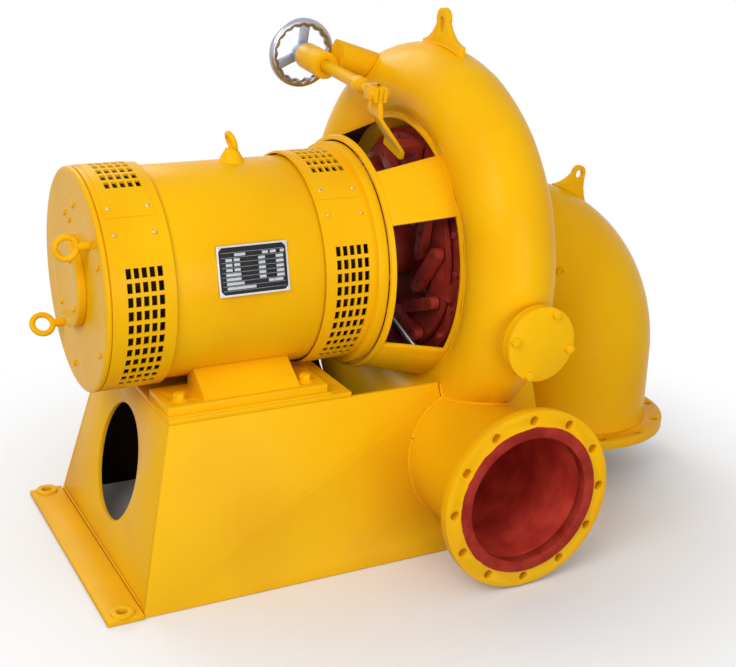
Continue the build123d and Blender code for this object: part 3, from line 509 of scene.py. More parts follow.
def make_piece(
    name, grids, finish=yellow, body="machine", slot="yellow_paint", replaced=(), sharp=34
):
    """One object from several grids: seams and poles merged, faces turned outwards."""
    starts = np.cumsum([0] + [len(points) for points, faces in grids])
    points = np.concatenate([points for points, faces in grids])
    faces = np.concatenate([faces + start for (_, faces), start in zip(grids, starts)])
    mesh = bpy.data.meshes.new(name)
    mesh.from_pydata(points, [], faces)
    work = bmesh.new()
    work.from_mesh(mesh)
    bmesh.ops.remove_doubles(work, verts=work.verts, dist=2e-6)
    bmesh.ops.recalc_face_normals(work, faces=work.faces)
    work.to_mesh(mesh)
    work.free()
    mesh.polygons.foreach_set("use_smooth", np.ones(len(mesh.polygons), bool))
    mesh.set_sharp_from_angle(angle=math.radians(sharp))
    mesh.materials.append(finish)
    piece = add_object(name, mesh)
    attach(piece, body)
    if replaced:
        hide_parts(*replaced)
    print(name, len(mesh.polygons), "faces")


# %% Directions
x_axis = np.array([1.0, 0.0, 0.0])


def unit(vectors):
    """Vectors of length one."""
    vectors = np.asarray(vectors, float)
    return vectors / np.linalg.norm(vectors, axis=-1, keepdims=True)


def spokes(axes, turn):
    """Directions round each axis: cos(turn) * side + sin(turn) * up."""
    upright = np.abs(axes[..., 2:]) > 0.9
    helper = np.where(upright, (1.0, 0.0, 0.0), (0.0, 0.0, 1.0))
    side = unit(np.cross(helper, axes))[:, None]
    up = np.cross(axes[:, None], side)
    return np.cos(turn)[:, None] * side + np.sin(turn)[:, None] * up


def pole(ring):
    """A ring of points drawn together to its middle, which closes the end of a tube."""
    return ring.mean(axis=1, keepdims=True) + 0 * ring


print("unit of (0, 3, 4):", unit((0, 3, 4)))


# %% Turned shapes
def turned_heads(places, axes, along, radius, spin=0.0):
    """A turned shape at each place: row i goes round the axis at along[i] with radius[i].

    point = place + along * axis + radius * (cos(turn) * side + sin(turn) * up)
    """
    places = np.atleast_2d(np.asarray(places, float))
    axes = np.broadcast_to(unit(np.atleast_2d(axes)), places.shape)
    along, radius = np.asarray(along, float), np.asarray(radius, float)
    radius = radius if radius.ndim == 2 else radius[:, None] * np.ones(48)
    spoke = spokes(axes, full_turn(radius.shape[1]) + spin)
    middle = places[:, None, None] + along[:, None, None] * axes[:, None, None]
    return lattice(middle + radius[:, :, None] * spoke[:, None])


def rounded(profile, amount, steps=4):
    """Round the inner corners of an open profile.

    Each becomes a curve between two points set back from it,
    corner + (1 - u)^2 * back + u^2 * ahead
    """
    profile = np.asarray(profile, float)
    corner, before, after = profile[1:-1], profile[:-2], profile[2:]
    back, ahead = before - corner, after - corner
    length = np.minimum(*(np.linalg.norm(v, axis=1, keepdims=True) for v in (back, ahead)))
    reach = np.minimum(amount, 0.45 * length)
    u = np.linspace(0, 1, steps)[None, :, None]
    curve = corner[:, None] + (1 - u) ** 2 * (unit(back) * reach)[:, None]
    curve = curve + u**2 * (unit(ahead) * reach)[:, None]
    return np.concatenate([profile[:1], curve.reshape(-1, 2), profile[-1:]])


def turned_piece(place, axis, profile, amount, around=48):
    """One turned solid from (along, radius) points that start and end on the axis."""
    path = rounded(profile, amount)
    return turned_heads([place], [axis], path[:, 0], path[:, 1:] * np.ones(around))


disc = [(0, 0), (0, 0.01), (0.01, 0.01), (0.01, 0)]
print("a test disc has", len(turned_piece((0, 0, 0), x_axis, disc, 0.001)[0]), "points")


# %% Hexagon heads and washers
def hexagons(places, axes, across, height, washer=0.0, spin=0.0):
    """Hexagon heads, cut back by a cone near the top, with washers if washer is not 0.

    radius = half / cos(turn mod 60 - 30 degrees)
    """
    half = across / 2
    polygon = half / np.cos(full_turn(36) % (np.pi / 3) - np.pi / 6)
    along = height - half * np.array([height / half, height / half, 0.12, 0.06, 0.0, 0.0])
    cone = 0.95 * half + 1.73 * (height - along)
    solid = np.array([0, 1, 1, 1, 1, 0])[:, None]
    radius = np.minimum(polygon[None], cone[:, None]) * solid
    start = np.atleast_2d(places) + washer * 0.18 * unit(np.atleast_2d(axes))
    grids = [turned_heads(start, axes, along, radius, spin)]
    if washer:
        rows = np.array([(0, 0), (0, 1), (0.15, 1), (0.18, 0.95), (0.18, 0)]) * washer
        grids.append(turned_heads(places, axes, rows[:, 0], rows[:, 1]))
    return grids


print("a test head has", len(hexagons((0, 0, 0), x_axis, 0.02, 0.01)[0][0]), "points")


# %% Beads along a path
def bead(path, radius, closed=False, ripple=0.12, pitch=0.006):
    """Weld bead: a round rope along a path, which ripples once per pitch of length."""
    path = np.asarray(path, float)
    ahead = np.roll(path, -1, axis=0) - np.roll(path, 1, axis=0)
    if not closed:
        ahead[0], ahead[-1] = path[1] - path[0], path[-1] - path[-2]
    travelled = np.cumsum(np.linalg.norm(np.diff(path, axis=0, prepend=path[:1]), axis=1))
    size = radius * (1 + ripple * np.sin(2 * np.pi * travelled / pitch))
    if not closed:
        size[0] = size[-1] = 0
    spoke = spokes(unit(ahead), full_turn(10))
    return lattice(path[:, None] + size[:, None, None] * spoke, close_rows=closed)


def line(start, end, step=0.0015):
    """Evenly spaced points from one place to another."""
    start, end = np.asarray(start, float), np.asarray(end, float)
    count = max(2, int(np.linalg.norm(end - start) / step))
    return start + np.linspace(0, 1, count)[:, None] * (end - start)


print("a line of 10 mm has", len(line((0, 0, 0), (0.01, 0, 0))), "points")


# %% [markdown]
# ## Spiral casing
# The casing is a tube that winds once round the shaft and grows thinner. It is welded
# from fifteen cones of rolled plate and then ground, filled and painted until the joints
# hardly show. The surface is the smooth spiral with a little of the straight cones mixed
# in, and a low swelling at each weld. The inlet pipe is the same tube run straight to
# the flange.

# %% The tube of the casing
casing_turns = np.array([0.0, 90.0, 180.0, 270.0, 360.0])
tube_radii = np.array([0.1625, 0.128, 0.108, 0.104, 0.096])
centre_radii = np.array([0.466, 0.419, 0.399, 0.395, 0.387])
casing_x, inlet_end_y, casing_wall = 0.344, -0.560, 0.006


def between_stops(turn, values):
    """Cubic through the five stops, so that the tube narrows without a kink.

    The slope at a stop is the harmonic mean of the slopes on its two sides.
    """
    side = np.diff(values) / 90
    slope = np.concatenate([side[:1], 2 / (1 / side[:-1] + 1 / side[1:]), side[-1:]]) * 90
    k = np.clip(np.searchsorted(casing_turns, turn, side="right") - 1, 0, 3)
    u = (turn - casing_turns[k]) / 90
    rise = u**2 * (3 - 2 * u)
    curve = values[k] * (1 - rise) + values[k + 1] * rise
    return curve + u * (1 - u) * ((1 - u) * slope[k] - u * slope[k + 1])


def middle_x(turn):
    """Middle of the tube along the shaft: it moves over in the first quarter turn."""
    return inlet_x + (casing_x - inlet_x) * np.clip(turn / 90, 0, 1)


def tube_circle(turn, inset=0.0, columns=96):
    """Rings of the casing at angles turned from the bottom, towards +Y and up.

    centre = c * (cos a, sin a) about the shaft, a = turn - 90 degrees;
    point = centre + r * (cos v * X + sin v * outward)
    """
    turn = np.atleast_1d(turn)
    angle = np.radians(turn - 90)[:, None]
    v = full_turn(columns)[None]
    radius = between_stops(turn, tube_radii)[:, None] - inset
    out = between_stops(turn, centre_radii)[:, None] + radius * np.sin(v)
    x = middle_x(turn)[:, None] + radius * np.cos(v)
    return points_of(x, out * np.cos(angle), shaft_height + out * np.sin(angle))


def inlet_rings(y, inset=0.0):
    """The first ring of the casing carried straight to each y."""
    rings = np.repeat(tube_circle(0, inset), len(y), axis=0)
    rings[..., 1] = np.asarray(y)[:, None]
    return rings


print("tube radius at 45 degrees", between_stops(np.array([45.0]), tube_radii).round(4))

# %% Outside of the casing
segment, segment_count = 22.5, 15
across_joint = np.array(
    [0, 0.012, 0.024, 0.045, 0.12, 0.3, 0.5, 0.7, 0.88, 0.955, 0.976, 0.988]
)
whole = np.repeat(np.arange(segment_count), len(across_joint))
share = np.tile(across_joint, segment_count)
cone = tube_circle(whole * segment) * (1 - share)[:, None, None]
cone = cone + tube_circle((whole + 1) * segment) * share[:, None, None]
spiral = tube_circle((whole + share) * segment)
near_joint = np.minimum(share, 1 - share) * math.radians(segment) * 0.4
swelling = 0.0002 * np.exp(-((near_joint / 0.0032) ** 2))
outward = unit(spiral - spiral.mean(axis=1, keepdims=True))
outside = 0.10 * cone + 0.90 * spiral + swelling[:, None, None] * outward
outside[..., 1] = np.minimum(outside[..., 1], cad_high.y)
print(len(outside), "rings, out to y", outside[..., 1].max().round(4))

# %% Nose of the tube
# Behind the tongue the rings shrink to a point that hides in the wall of the inlet pipe.
nose = np.array([0, 0.2, 0.4, 0.6, 0.75, 0.87, 0.95, 1.0])
nose_rings = tube_circle(segment * segment_count + 14 * nose)
nose_middle = nose_rings.mean(axis=1, keepdims=True)
nose_shrink = np.sqrt(1 - nose**2)[:, None, None]
nose_drop = np.array([inlet_x - casing_x, 0, -0.03]) * (nose**2)[:, None, None] * 0.6
nose_rings = nose_middle + nose_drop + (nose_rings - nose_middle) * nose_shrink
print("nose ends at", nose_rings[-1, 0].round(3))

# %% The whole surface, from the inner wall to the nose
straight = np.concatenate([[inlet_end_y], np.linspace(-0.54, -0.02, 27)])
bore_rings = tube_circle(np.linspace(90, 0, 30), casing_wall)
inside = [bore_rings, inlet_rings(straight[::-1], casing_wall)]
rings = np.concatenate(
    [pole(bore_rings[:1]), *inside, inlet_rings(straight), outside, nose_rings]
)
# The last rings run into the inlet pipe: points in its bore are pushed into its wall.
in_pipe_wall = 0.159
late = np.arange(len(rings)) > len(rings) - len(nose) - 3 * len(across_joint)
gap = rings[..., [0, 2]] - np.array([inlet_x, shaft_height - centre_radii[0]])
push = np.maximum(in_pipe_wall / np.maximum(np.linalg.norm(gap, axis=-1), 1e-6), 1)
inside_pipe = late[:, None] & (rings[..., 1] < 0)
rings[..., [0, 2]] += gap * np.where(inside_pipe, push - 1, 0)[..., None]
print(int((inside_pipe & (push > 1)).sum()), "points pushed out of the bore")
skins = ("casing_lower", "casing_far", "casing_top", "casing_near", "casing_tail")
make_piece("spiral_casing", [lattice(rings)], replaced=(*skins, "inlet_pipe"))

# %% Red lining of the inlet
deep = np.linspace(0, 85, 30)
fore = np.array([inlet_end_y, -0.3, -0.05])
inner, outer = (
    np.concatenate([inlet_rings(fore, inset), tube_circle(deep, inset)])
    for inset in (0.008, 0.0065)
)
near_pole, far_pole = (pole(tube_circle(turn)) for turn in (85.0, 85.3))
lining = np.concatenate([near_pole, inner[::-1], outer, far_pole])
# The lining wears the brightened primer, painted light in the bore.
make_piece("inlet_lining", [lattice(lining)], lit_bore_red, slot="red_primer")

# %% [markdown]
# ## Draft elbow
# Behind the turbine the water leaves through a tube that bends down and widens. It is a
# circle carried along a straight, a quarter bend and a short drop, with the radius
# growing round the bend. The same path drawn in by the wall gives the inside.

# %% Draft elbow
elbow_start_x, elbow_axis_x, bend_radius = 0.424, 0.850, 0.320
elbow_radii = (0.150, 0.200)
elbow_foot_z, elbow_wall = 0.150, 0.008
bend_top_x = elbow_axis_x - bend_radius
bend_foot_z = shaft_height - bend_radius


def elbow_path(rows=48):
    """Middle points, outward directions and radii from the back cover to the flange."""
    angle = np.concatenate([[0, 0], np.radians(np.linspace(0, 90, rows)), [np.pi / 2] * 2])
    middle = np.zeros((len(angle), 3))
    middle[:, 0] = bend_top_x + bend_radius * np.sin(angle)
    middle[:, 2] = bend_foot_z + bend_radius * np.cos(angle)
    middle[:2, 0] = elbow_start_x, 0.5 * (elbow_start_x + bend_top_x)
    middle[-2:, 2] = 0.5 * (bend_foot_z + elbow_foot_z), elbow_foot_z
    outward = points_of(np.sin(angle), 0, np.cos(angle))
    radius = np.interp(angle, [0, np.pi / 2], elbow_radii)
    return middle, outward, radius


def elbow_rings(inset=0.0, columns=96):
    """point = middle + r * (cos v * outward + sin v * Y)."""
    middle, outward, radius = elbow_path()
    v = full_turn(columns)[None, :, None]
    spoke = np.cos(v) * outward[:, None] + np.sin(v) * np.array([0, 1, 0])
    return middle[:, None] + (radius - inset)[:, None, None] * spoke


both_sides = np.concatenate([elbow_rings(), elbow_rings(elbow_wall)[::-1]])
elbow_grid = lattice(both_sides, close_rows=True)
make_piece("draft_elbow_skin", [elbow_grid], replaced=("draft_elbow",))

# %% Tapping boss
boss_turn = math.radians(26.4)
boss_place = np.array([0.655, -0.160, 0.623])
boss_reach = bend_radius * np.array([math.sin(boss_turn), 0, math.cos(boss_turn)])
boss_out = unit(boss_place - (np.array([bend_top_x, 0, bend_foot_z]) + boss_reach))
boss_profile = [
    (-0.004, 0), (-0.004, 0.012), (0.006, 0.012),
    (0.006, 0.0060), (-0.003, 0.0060), (-0.003, 0),
]
boss_grid = turned_piece(boss_place, boss_out, boss_profile, 0.001)
make_piece("tapping_boss", [boss_grid])

# %% [markdown]
# ## Handwheel
# The wheel is a polished casting: a round rim with finger scallops on its inner side and
# three flat spokes that flare into the hub and the rim. A yellow cap closes the screw.

# %% Frame of the screw
lever_turn = math.radians(106.1)
lever_out = np.array([0, math.cos(lever_turn), math.sin(lever_turn)])
screw_x = 0.128
knuckle = 0.424 * lever_out + (screw_x, 0, shaft_height)
pivot = np.array([screw_x, 0.185, shaft_height + 0.438])
screw_axis = unit(knuckle - pivot)
wheel_offset, wheel_radius, rim_radius, hub_radius = 0.136, 0.090, 0.0105, 0.019
wheel_middle = pivot - wheel_offset * screw_axis
wheel_up = np.cross(screw_axis, x_axis)
wheel_up = wheel_up * np.sign(wheel_up[2])
print("screw axis", screw_axis.round(3), "wheel up", wheel_up.round(3))


def on_wheel(across, up, along):
    """Points of the wheel from its own three coordinates."""
    across, up, along = (value[..., None] for value in (across, up, along))
    return wheel_middle + across * x_axis + up * wheel_up + along * screw_axis


# %% Rim
def rim_grid(columns=24, rows=216, scallops=18):
    """Torus whose inner side is scalloped for the fingers.

    r = rim * (1 + 0.45 * max(0, -cos v) * (|cos(n * u / 2)| - 0.5))
    """
    u = full_turn(rows)[:, None]
    v = full_turn(columns)[None]
    inner = np.clip(-np.cos(v), 0, 1)
    size = rim_radius * (1 + 0.45 * inner * (np.abs(np.cos(scallops * u / 2)) - 0.5))
    out = (wheel_radius - rim_radius) + size * np.cos(v)
    points = on_wheel(out * np.cos(u), out * np.sin(u), size * np.sin(v) + 0 * u)
    return lattice(points, close_rows=True)


on_handwheel = {"body": "handwheel", "slot": "chrome"}
make_piece("polished_rim", [rim_grid()], chrome, **on_handwheel, replaced=("handwheel",))


# %% Spokes, hub and cap
def squarish(value):
    """Square root that keeps its sign, which turns a circle into a rounded bar."""
    return np.sign(value) * np.abs(value) ** 0.5


def spoke_grids(columns=20, rows=14):
    """Flat bars with round edges from the hub to the rim, wider at both ends.

    half width = 13 + 4 * (2s - 1)^4 mm at a share s of the length
    """
    s = np.linspace(0, 1, rows)[:, None]
    v = full_turn(columns)[None]
    start, end = hub_radius * 0.6, wheel_radius - 1.2 * rim_radius
    reach = start + s * (end - start)
    wide = (0.013 + 0.004 * (2 * s - 1) ** 4) * squarish(np.cos(v))
    thick = 0.0042 * squarish(np.sin(v)) + 0 * s
    wide[[0, -1]] *= 0.02
    thick[[0, -1]] *= 0.02
    grids = []
    for turn in np.radians([84, 204, 324]):
        across = reach * math.cos(turn) - wide * math.sin(turn)
        up = reach * math.sin(turn) + wide * math.cos(turn)
        grids.append(lattice(on_wheel(across, up, thick)))
    return grids


hub_profile = [
    (-0.010, 0), (-0.010, 0.024), (0.008, 0.028),
    (0.012, 0.025), (0.028, 0.022), (0.028, 0),
]
hub_grid = turned_piece(wheel_middle, screw_axis, hub_profile, 0.003)
make_piece("cast_spokes", [*spoke_grids(), hub_grid], cast, **on_handwheel)
cap_profile = [(-0.0175, 0), (-0.0175, 0.013), (-0.0118, 0.0165), (-0.0118, 0)]
cap_grid = turned_piece(wheel_middle, screw_axis, cap_profile, 0.004)
make_piece("wheel_cap", [cap_grid], body="handwheel")

# %% [markdown]
# ## Fasteners
# Bolt heads are what tells the eye how big a machine is. A hexagon head is a grid whose
# radius follows the hexagon and is cut back by a cone. The same grid serves every bolt,
# and numpy lays it at each place along its own axis.

# %% Hexagon bolts in the yellow paint
hatch_middle = np.array([0.344, -0.540, 0.584])
hatch_turns = np.radians([66, 167, 246, 346])
hatch_spots = hatch_middle + 0.0765 * points_of(np.cos(hatch_turns), 0, np.sin(hatch_turns))
foot_x = -0.250 + np.array([-0.1555, 0.1555, -0.1555, 0.1555])
foot_y = np.array([-0.213, -0.213, 0.213, 0.213])
foot_spots = points_of(foot_x, foot_y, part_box("generator_feet")[0].z + 0.020)


def ring_of(count, radius, x, first=0.0):
    """Places round the shaft line at one x, from +Y towards up."""
    turn = np.radians(first) + 2 * np.pi * np.arange(count) / count
    return points_of(x, radius * np.cos(turn), shaft_height + radius * np.sin(turn))


back_spots, neck_spots = ring_of(12, 0.270, 0.424, 15), ring_of(8, 0.175, 0.442, 22.5)
machine_bolts = [
    *hexagons(hatch_spots, (0, -1, 0), 0.020, 0.0095),
    *hexagons(foot_spots, (0, 0, 1), 0.024, 0.015, washer=0.019, spin=0.4),
    *hexagons(back_spots, (1, 0, 0), 0.019, 0.010, spin=0.2),
    *hexagons(neck_spots, (1, 0, 0), 0.019, 0.010, washer=0.015),
]
make_piece("painted_bolts", machine_bolts)

# %% End cover screws
cover_face = -0.5765
cover_y = 0.001 * np.array([-18, 61, 22, 128, 66, 31, -199, -190])
cover_rise = 0.001 * np.array([179, 145, 137, 24, -125, -210, 81, -120])
cover_spots = points_of(cover_face, cover_y, shaft_height + cover_rise)
cap_spots = ring_of(4, 0.078, cover_face - 0.0195, 38)
cover_parts = [
    *hexagons(cover_spots, (-1, 0, 0), 0.012, 0.004),
    *hexagons(cap_spots, (-1, 0, 0), 0.012, 0.0045),
]
make_piece("end_cover_screws", cover_parts)

# %% Round screws on the shrouds
shroud_turn = np.radians([50.5, 36.0])
shroud_turns = np.concatenate([shroud_turn, np.pi - shroud_turn])
shroud_x = np.array([-0.540, -0.451, -0.040, 0.043])
turn, x = (grid.ravel() for grid in np.meshgrid(shroud_turns, shroud_x))
screw_out = points_of(0, -np.cos(turn), np.sin(turn))
sheet_radius = 0.2592
screw_spots = screw_out * sheet_radius + points_of(x, 0, shaft_height)
screw_rise = np.array([-0.001, -0.001, 0.0022, 0.0036, 0.0036])
screw_size = np.array([0, 0.0052, 0.0050, 0.0030, 0])
screw_grid = turned_heads(screw_spots, screw_out, screw_rise, screw_size)
make_piece("shroud_screws", [screw_grid], screw_zinc, slot="steel")

# %% Red nuts of the guide gear
gear_nuts = hexagons(ring_of(18, 0.274, 0.273, 1), (-1, 0, 0), 0.017, 0.009)
make_piece("guide_gear_nuts", gear_nuts, red, slot="red_primer")

# %% [markdown]
# ## Nameplate
# A flat metal plate with a black panel whose corners are clipped, four rivets and blank
# fields. The real one carries words, so this one keeps only the layout of its fields.

# %% Flat panels
plate_turn, plate_radius = math.radians(13), 0.2502
plate_out = np.array([0, -math.cos(plate_turn), math.sin(plate_turn)])
plate_up = np.array([0, math.sin(plate_turn), math.cos(plate_turn)])
plate_base = np.array([-0.237, 0, shaft_height]) + plate_radius * plate_out


def on_plate(flat, out):
    """Points from their two coordinates on the plate and their distance out of it."""
    return plate_base + flat[..., :1] * x_axis + flat[..., 1:] * plate_up + out * plate_out


def panels(middles, sizes, low, high, corner, clip=False):
    """Thin flat panels with round or clipped corners.

    outline = box corner inset by the corner radius, plus a quarter circle of it
    """
    middles, sizes = np.atleast_2d(middles), np.atleast_2d(sizes)
    per_corner = 2 if clip else 6
    bend_turn = np.linspace(0, np.pi / 2, per_corner)
    bend_turn = (bend_turn + np.arange(4)[:, None] * (np.pi / 2)).ravel()
    signs = np.repeat([(1, 1), (-1, 1), (-1, -1), (1, -1)], per_corner, axis=0)
    bend = np.stack([np.cos(bend_turn), np.sin(bend_turn)], axis=1)
    outline = (sizes[:, None] / 2 - corner) * signs + corner * bend
    rise = np.array([low, low, high - 0.0001, high, high])
    shrink = np.array([0, 1, 1, 0.99, 0])
    flat = middles[:, None, None] + outline[:, None] * shrink[:, None, None]
    return lattice(on_plate(flat, rise[:, None, None]))


plate_size = np.array([0.168, 0.113])
sheet = panels((0, 0), plate_size, -0.0006, 0.0012, 0.003)
make_piece("nameplate_sheet", [sheet], satin, slot="plate", replaced=("nameplate",))
ink = panels((0, 0), plate_size - 0.008, 0.0010, 0.00128, 0.008, clip=True)
make_piece("nameplate_ink", [ink], black_ink, slot="plate")

# %% Blank fields
pair = ((0.032, 0.016), (0.075, 0.018))
field_rows = (
    (0.0350, ((-0.019, 0.026), (0.041, 0.014), (0.060, 0.014), (0.082, 0.010))),
    *((y, ((-0.046, 0.015), (-0.027, 0.014), *pair)) for y in (0.0240, 0.0130, 0.0020)),
    *((y, ((-0.037, 0.035), *pair)) for y in (-0.0085, -0.0185)),
    (-0.0285, ((-0.034, 0.041), (0.052, 0.014), (0.070, 0.020))),
    (-0.0385, ((-0.020, 0.068),)),
)
spots = np.array([(x - 0.011, y, width) for y, row in field_rows for x, width in row])
field_sizes = np.stack(np.broadcast_arrays(spots[:, 2], 0.0062), axis=1)
rule_y = np.array(
    [0.0405, 0.0295, 0.0185, 0.0075, -0.0035, -0.0135, -0.0235, -0.0335, -0.0440]
)
rule_spots = np.stack([0 * rule_y, rule_y], axis=1)
fields = [
    panels(spots[:, :2], field_sizes, 0.0012, 0.00138, 0.0004),
    panels(rule_spots, (0.150, 0.0005), 0.0012, 0.00131, 0.0002),
]
make_piece("nameplate_fields", fields, white_ink, slot="plate")

# %% Rivets of the nameplate
corner_signs = np.array([(1, 1), (-1, 1), (-1, -1), (1, -1)])
rivet_spots = on_plate(corner_signs * (plate_size / 2 - 0.0055), 0.001)
rivet_rise, rivet_size = [0, 0, 0.0006, 0.0011, 0.0011], [0, 0.0024, 0.0022, 0.0012, 0]
rivet_grid = turned_heads(rivet_spots, plate_out, rivet_rise, rivet_size)
make_piece("nameplate_rivets", [rivet_grid], zinc, slot="plate")

# %% [markdown]
# ## Weld beads
# The frame and the casing are welded, and the beads are painted over. Each bead is a thin
# rope laid along the line where two parts meet, with a ripple for every drop of the rod.

# %% Beads of the base and the inlet
def near_plate_y(z):
    """Outer face of the near side plate at a height."""
    return -0.358 + side_lean * z


weld_radius = 0.1635
turn = full_turn(480)
pipe_x = inlet_x + weld_radius * np.cos(turn)
pipe_z = inlet_z + weld_radius * np.sin(turn)
saddle = points_of(pipe_x, near_plate_y(pipe_z) - 0.001, pipe_z)
neck = points_of(pipe_x, -0.5585, pipe_z)
foot_line = line((-0.5485, -0.335, 0.0225), (-0.5485, 0.335, 0.0225))
base_beads = [
    bead(saddle, 0.0042, closed=True),
    bead(neck, 0.0030, closed=True),
    bead(foot_line, 0.0017, ripple=0.05),
    bead(foot_line * (-1, 1, 1), 0.0017, ripple=0.05),
]
make_piece("base_beads", base_beads)


# %% Bead where the tail of the casing meets the inlet pipe
def first_crossing(value, points):
    """Down each column, the first place where value falls through zero, by proportion."""
    crossed = (value[:-1] > 0) & (value[1:] <= 0)
    row, column = crossed.argmax(axis=0), np.flatnonzero(crossed.any(axis=0))
    row = row[column]
    before, after = value[row, column], value[row + 1, column]
    share = (before / (before - after))[:, None]
    return points[row, column] * (1 - share) + points[row + 1, column] * share


def off_pipe(points):
    """How far points stand off the skin of the inlet pipe."""
    return np.hypot(points[..., 0] - inlet_x, points[..., 2] - inlet_z) - 0.1632


tail = tube_circle(np.linspace(290, 345, 400), columns=360)
crease = first_crossing(np.where(tail[..., 1] < 0, off_pipe(tail), 1.0), tail)
crease = crease[crease[:, 1] < near_plate_y(crease[:, 2]) + 0.004]
crease = crease[np.argsort(crease[:, 0])]
edge = first_crossing(near_plate_y(tail[..., 2]) - tail[..., 1], tail)
edge = edge[(off_pipe(edge) > 0) & (edge[:, 2] < 0.411)]
edge = edge[np.argsort(edge[:, 2])]
near_side, far_side = edge[edge[:, 0] < inlet_x], edge[edge[:, 0] > inlet_x]
print("crease from", crease[0].round(3), "to", crease[-1].round(3))
print("plate edge", near_side[[0, -1]].round(3).tolist(), far_side[-1].round(3))
tail_beads = [
    bead(crease, 0.0042, ripple=0.05), bead(near_side, 0.0036), bead(far_side, 0.0036)
]
make_piece("tail_beads", tail_beads)

# %% Beads of the casing
lug_y = np.linspace(-0.128, 0.046, 120)
lug_rise = np.sqrt((centre_radii[2] + tube_radii[2]) ** 2 - lug_y**2) + 0.0006
casing_beads = []
for x in (0.3355, 0.3525):
    casing_beads.append(bead(points_of(x, lug_y, shaft_height + lug_rise), 0.0022))
neck_turn = full_turn(300)
neck_across, neck_rise = 0.0585 * np.cos(neck_turn), 0.0585 * np.sin(neck_turn)
neck_z = hatch_middle[2] + neck_rise
neck_angle = np.degrees(np.arctan2(neck_z - shaft_height, -0.45)) % 360 + 90
tube = between_stops(neck_angle, tube_radii)
reach = between_stops(neck_angle, centre_radii) + np.sqrt(tube**2 - neck_across**2)
neck_y = -np.sqrt(np.maximum(reach**2 - (neck_z - shaft_height) ** 2, 0))
neck_line = points_of(hatch_middle[0] + neck_across, neck_y, neck_z)
casing_beads.append(bead(neck_line, 0.0028, closed=True))
make_piece("casing_beads", casing_beads)

# %% [markdown]
# ## Lever and knuckle
# A bent plate carries the motion of the screw down through the top window. It is a flat
# bar swept outwards from the shaft: its width and its place along X change on the way.
# Nuts and a bent split pin hold the knuckle.

# %% Lever
lever_across = np.array([0, -math.sin(lever_turn), math.cos(lever_turn)])
lever_far = np.array(
    [0.271, 0.273, 0.288, 0.294, 0.372, 0.379, 0.396, 0.408, 0.436, 0.444, 0.446]
)
lever_x = np.interp(lever_far, [0.290, 0.375], [0.196, screw_x])
lever_wide = np.interp(
    lever_far,
    [0.271, 0.273, 0.294, 0.379, 0.396, 0.408, 0.436, 0.444, 0.446],
    [0.086, 0.092, 0.092, 0.066, 0.056, 0.038, 0.036, 0.026, 0.016],
)
# Only the end near the shaft is closed; the far end stays open under the knuckle.
bar_across = np.array([-1, -0.97, 0.97, 1, 1, 0.97, -0.97, -1])
bar_thick = 0.0055 * np.array([-0.7, -1, -1, -0.7, 0.7, 1, 1, 0.7])
lever_rings = (
    np.array([0, 0, shaft_height])
    + lever_far[:, None, None] * lever_out
    + (lever_wide[:, None] / 2 * bar_across)[..., None] * lever_across
    + (lever_x[:, None] + bar_thick)[..., None] * x_axis
)
make_piece(
    "bent_lever",
    [lattice(np.concatenate([pole(lever_rings[:1]), lever_rings]))],
    body="regulating_ring",
    replaced=("regulating_lever",),
    sharp=25,
)

# %% Knuckle nuts and split pin
knuckle_spots = knuckle + np.array([(-0.016, 0, 0), (0.016, 0, 0)])
wire_x = [-0.0235, -0.0245, -0.0245, -0.024]
wire_y, wire_rise = [0.004, -0.006, -0.009, -0.008], [0, -0.002, -0.012, -0.030]
along = np.linspace(0, 3, 24)
wire = points_of(*(np.interp(along, range(4), row) for row in (wire_x, wire_y, wire_rise)))
knuckle_parts = [
    *hexagons(knuckle_spots, [(-1, 0, 0), (1, 0, 0)], 0.022, 0.0075, washer=0.016),
    bead(knuckle + wire, 0.0016, ripple=0.0),
]
make_piece("knuckle_nuts", knuckle_parts, body="screw_rod")

# %% [markdown]
# ## Generator end
# The end cover is a turned plate with a soft outer edge, and the bearing cap stands on it.
# Both are one profile turned round the shaft line.

# %% End cover and bearing cap
cover_centre = np.array([-0.563, 0, shaft_height])
cover_profile = [
    (0, 0), (0, 0.2555), (0.0022, 0.2555),
    (0.0026, 0.2590), (0.0100, 0.2590), (0.0135, 0.2535),
    (0.0135, 0.2420), (0.0132, 0.2400), (0.0132, 0),
]
cover_grid = turned_piece(cover_centre, (-1, 0, 0), cover_profile, 0.0020, 96)
make_piece("end_cover_plate", [cover_grid], replaced=("end_cover",))
bearing_profile = [
    (0.0130, 0), (0.0130, 0.1050), (0.0330, 0.1050),
    (0.0335, 0.0900), (0.0330, 0.0890), (0.0330, 0),
]
bearing_grid = turned_piece(cover_centre, (-1, 0, 0), bearing_profile, 0.0040, 96)
make_piece("bearing_cap_plate", [bearing_grid], replaced=("bearing_cap",))

# %% [markdown]
# ## Lantern weld
# The lantern runs into the flank of the casing. The seam is where the cone's radius meets
# the flank, and a few rounds of substitution find it for every angle at once.

# %% Bead between the lantern and the casing
def lantern_cone(x):
    """Outer radius of the lantern at one x."""
    return lantern_radius + lantern_lean * (x - lantern_x)


seam_turn = np.linspace(0, 360, 720, endpoint=False)
seam_tube = between_stops(seam_turn, tube_radii)
seam_centre = between_stops(seam_turn, centre_radii)
seam_x = np.full(720, 0.255)
for _ in range(12):
    inward = lantern_cone(seam_x) - seam_centre
    seam_x = middle_x(seam_turn) - np.sqrt(np.maximum(seam_tube**2 - inward**2, 0))
seam_x = np.clip(seam_x, 0.252, 0.268)
seam_radius = lantern_cone(seam_x) + 0.001
seam_angle = np.radians(seam_turn - 90)
seam_y = seam_radius * np.cos(seam_angle)
seam_z = shaft_height + seam_radius * np.sin(seam_angle)
print("seam x from", seam_x.min().round(4), "to", seam_x.max().round(4))
seam = points_of(seam_x, seam_y, seam_z)
seam_bead = bead(seam, 0.0036, closed=True, ripple=0.06, pitch=0.009)
make_piece("lantern_bead", [seam_bead])

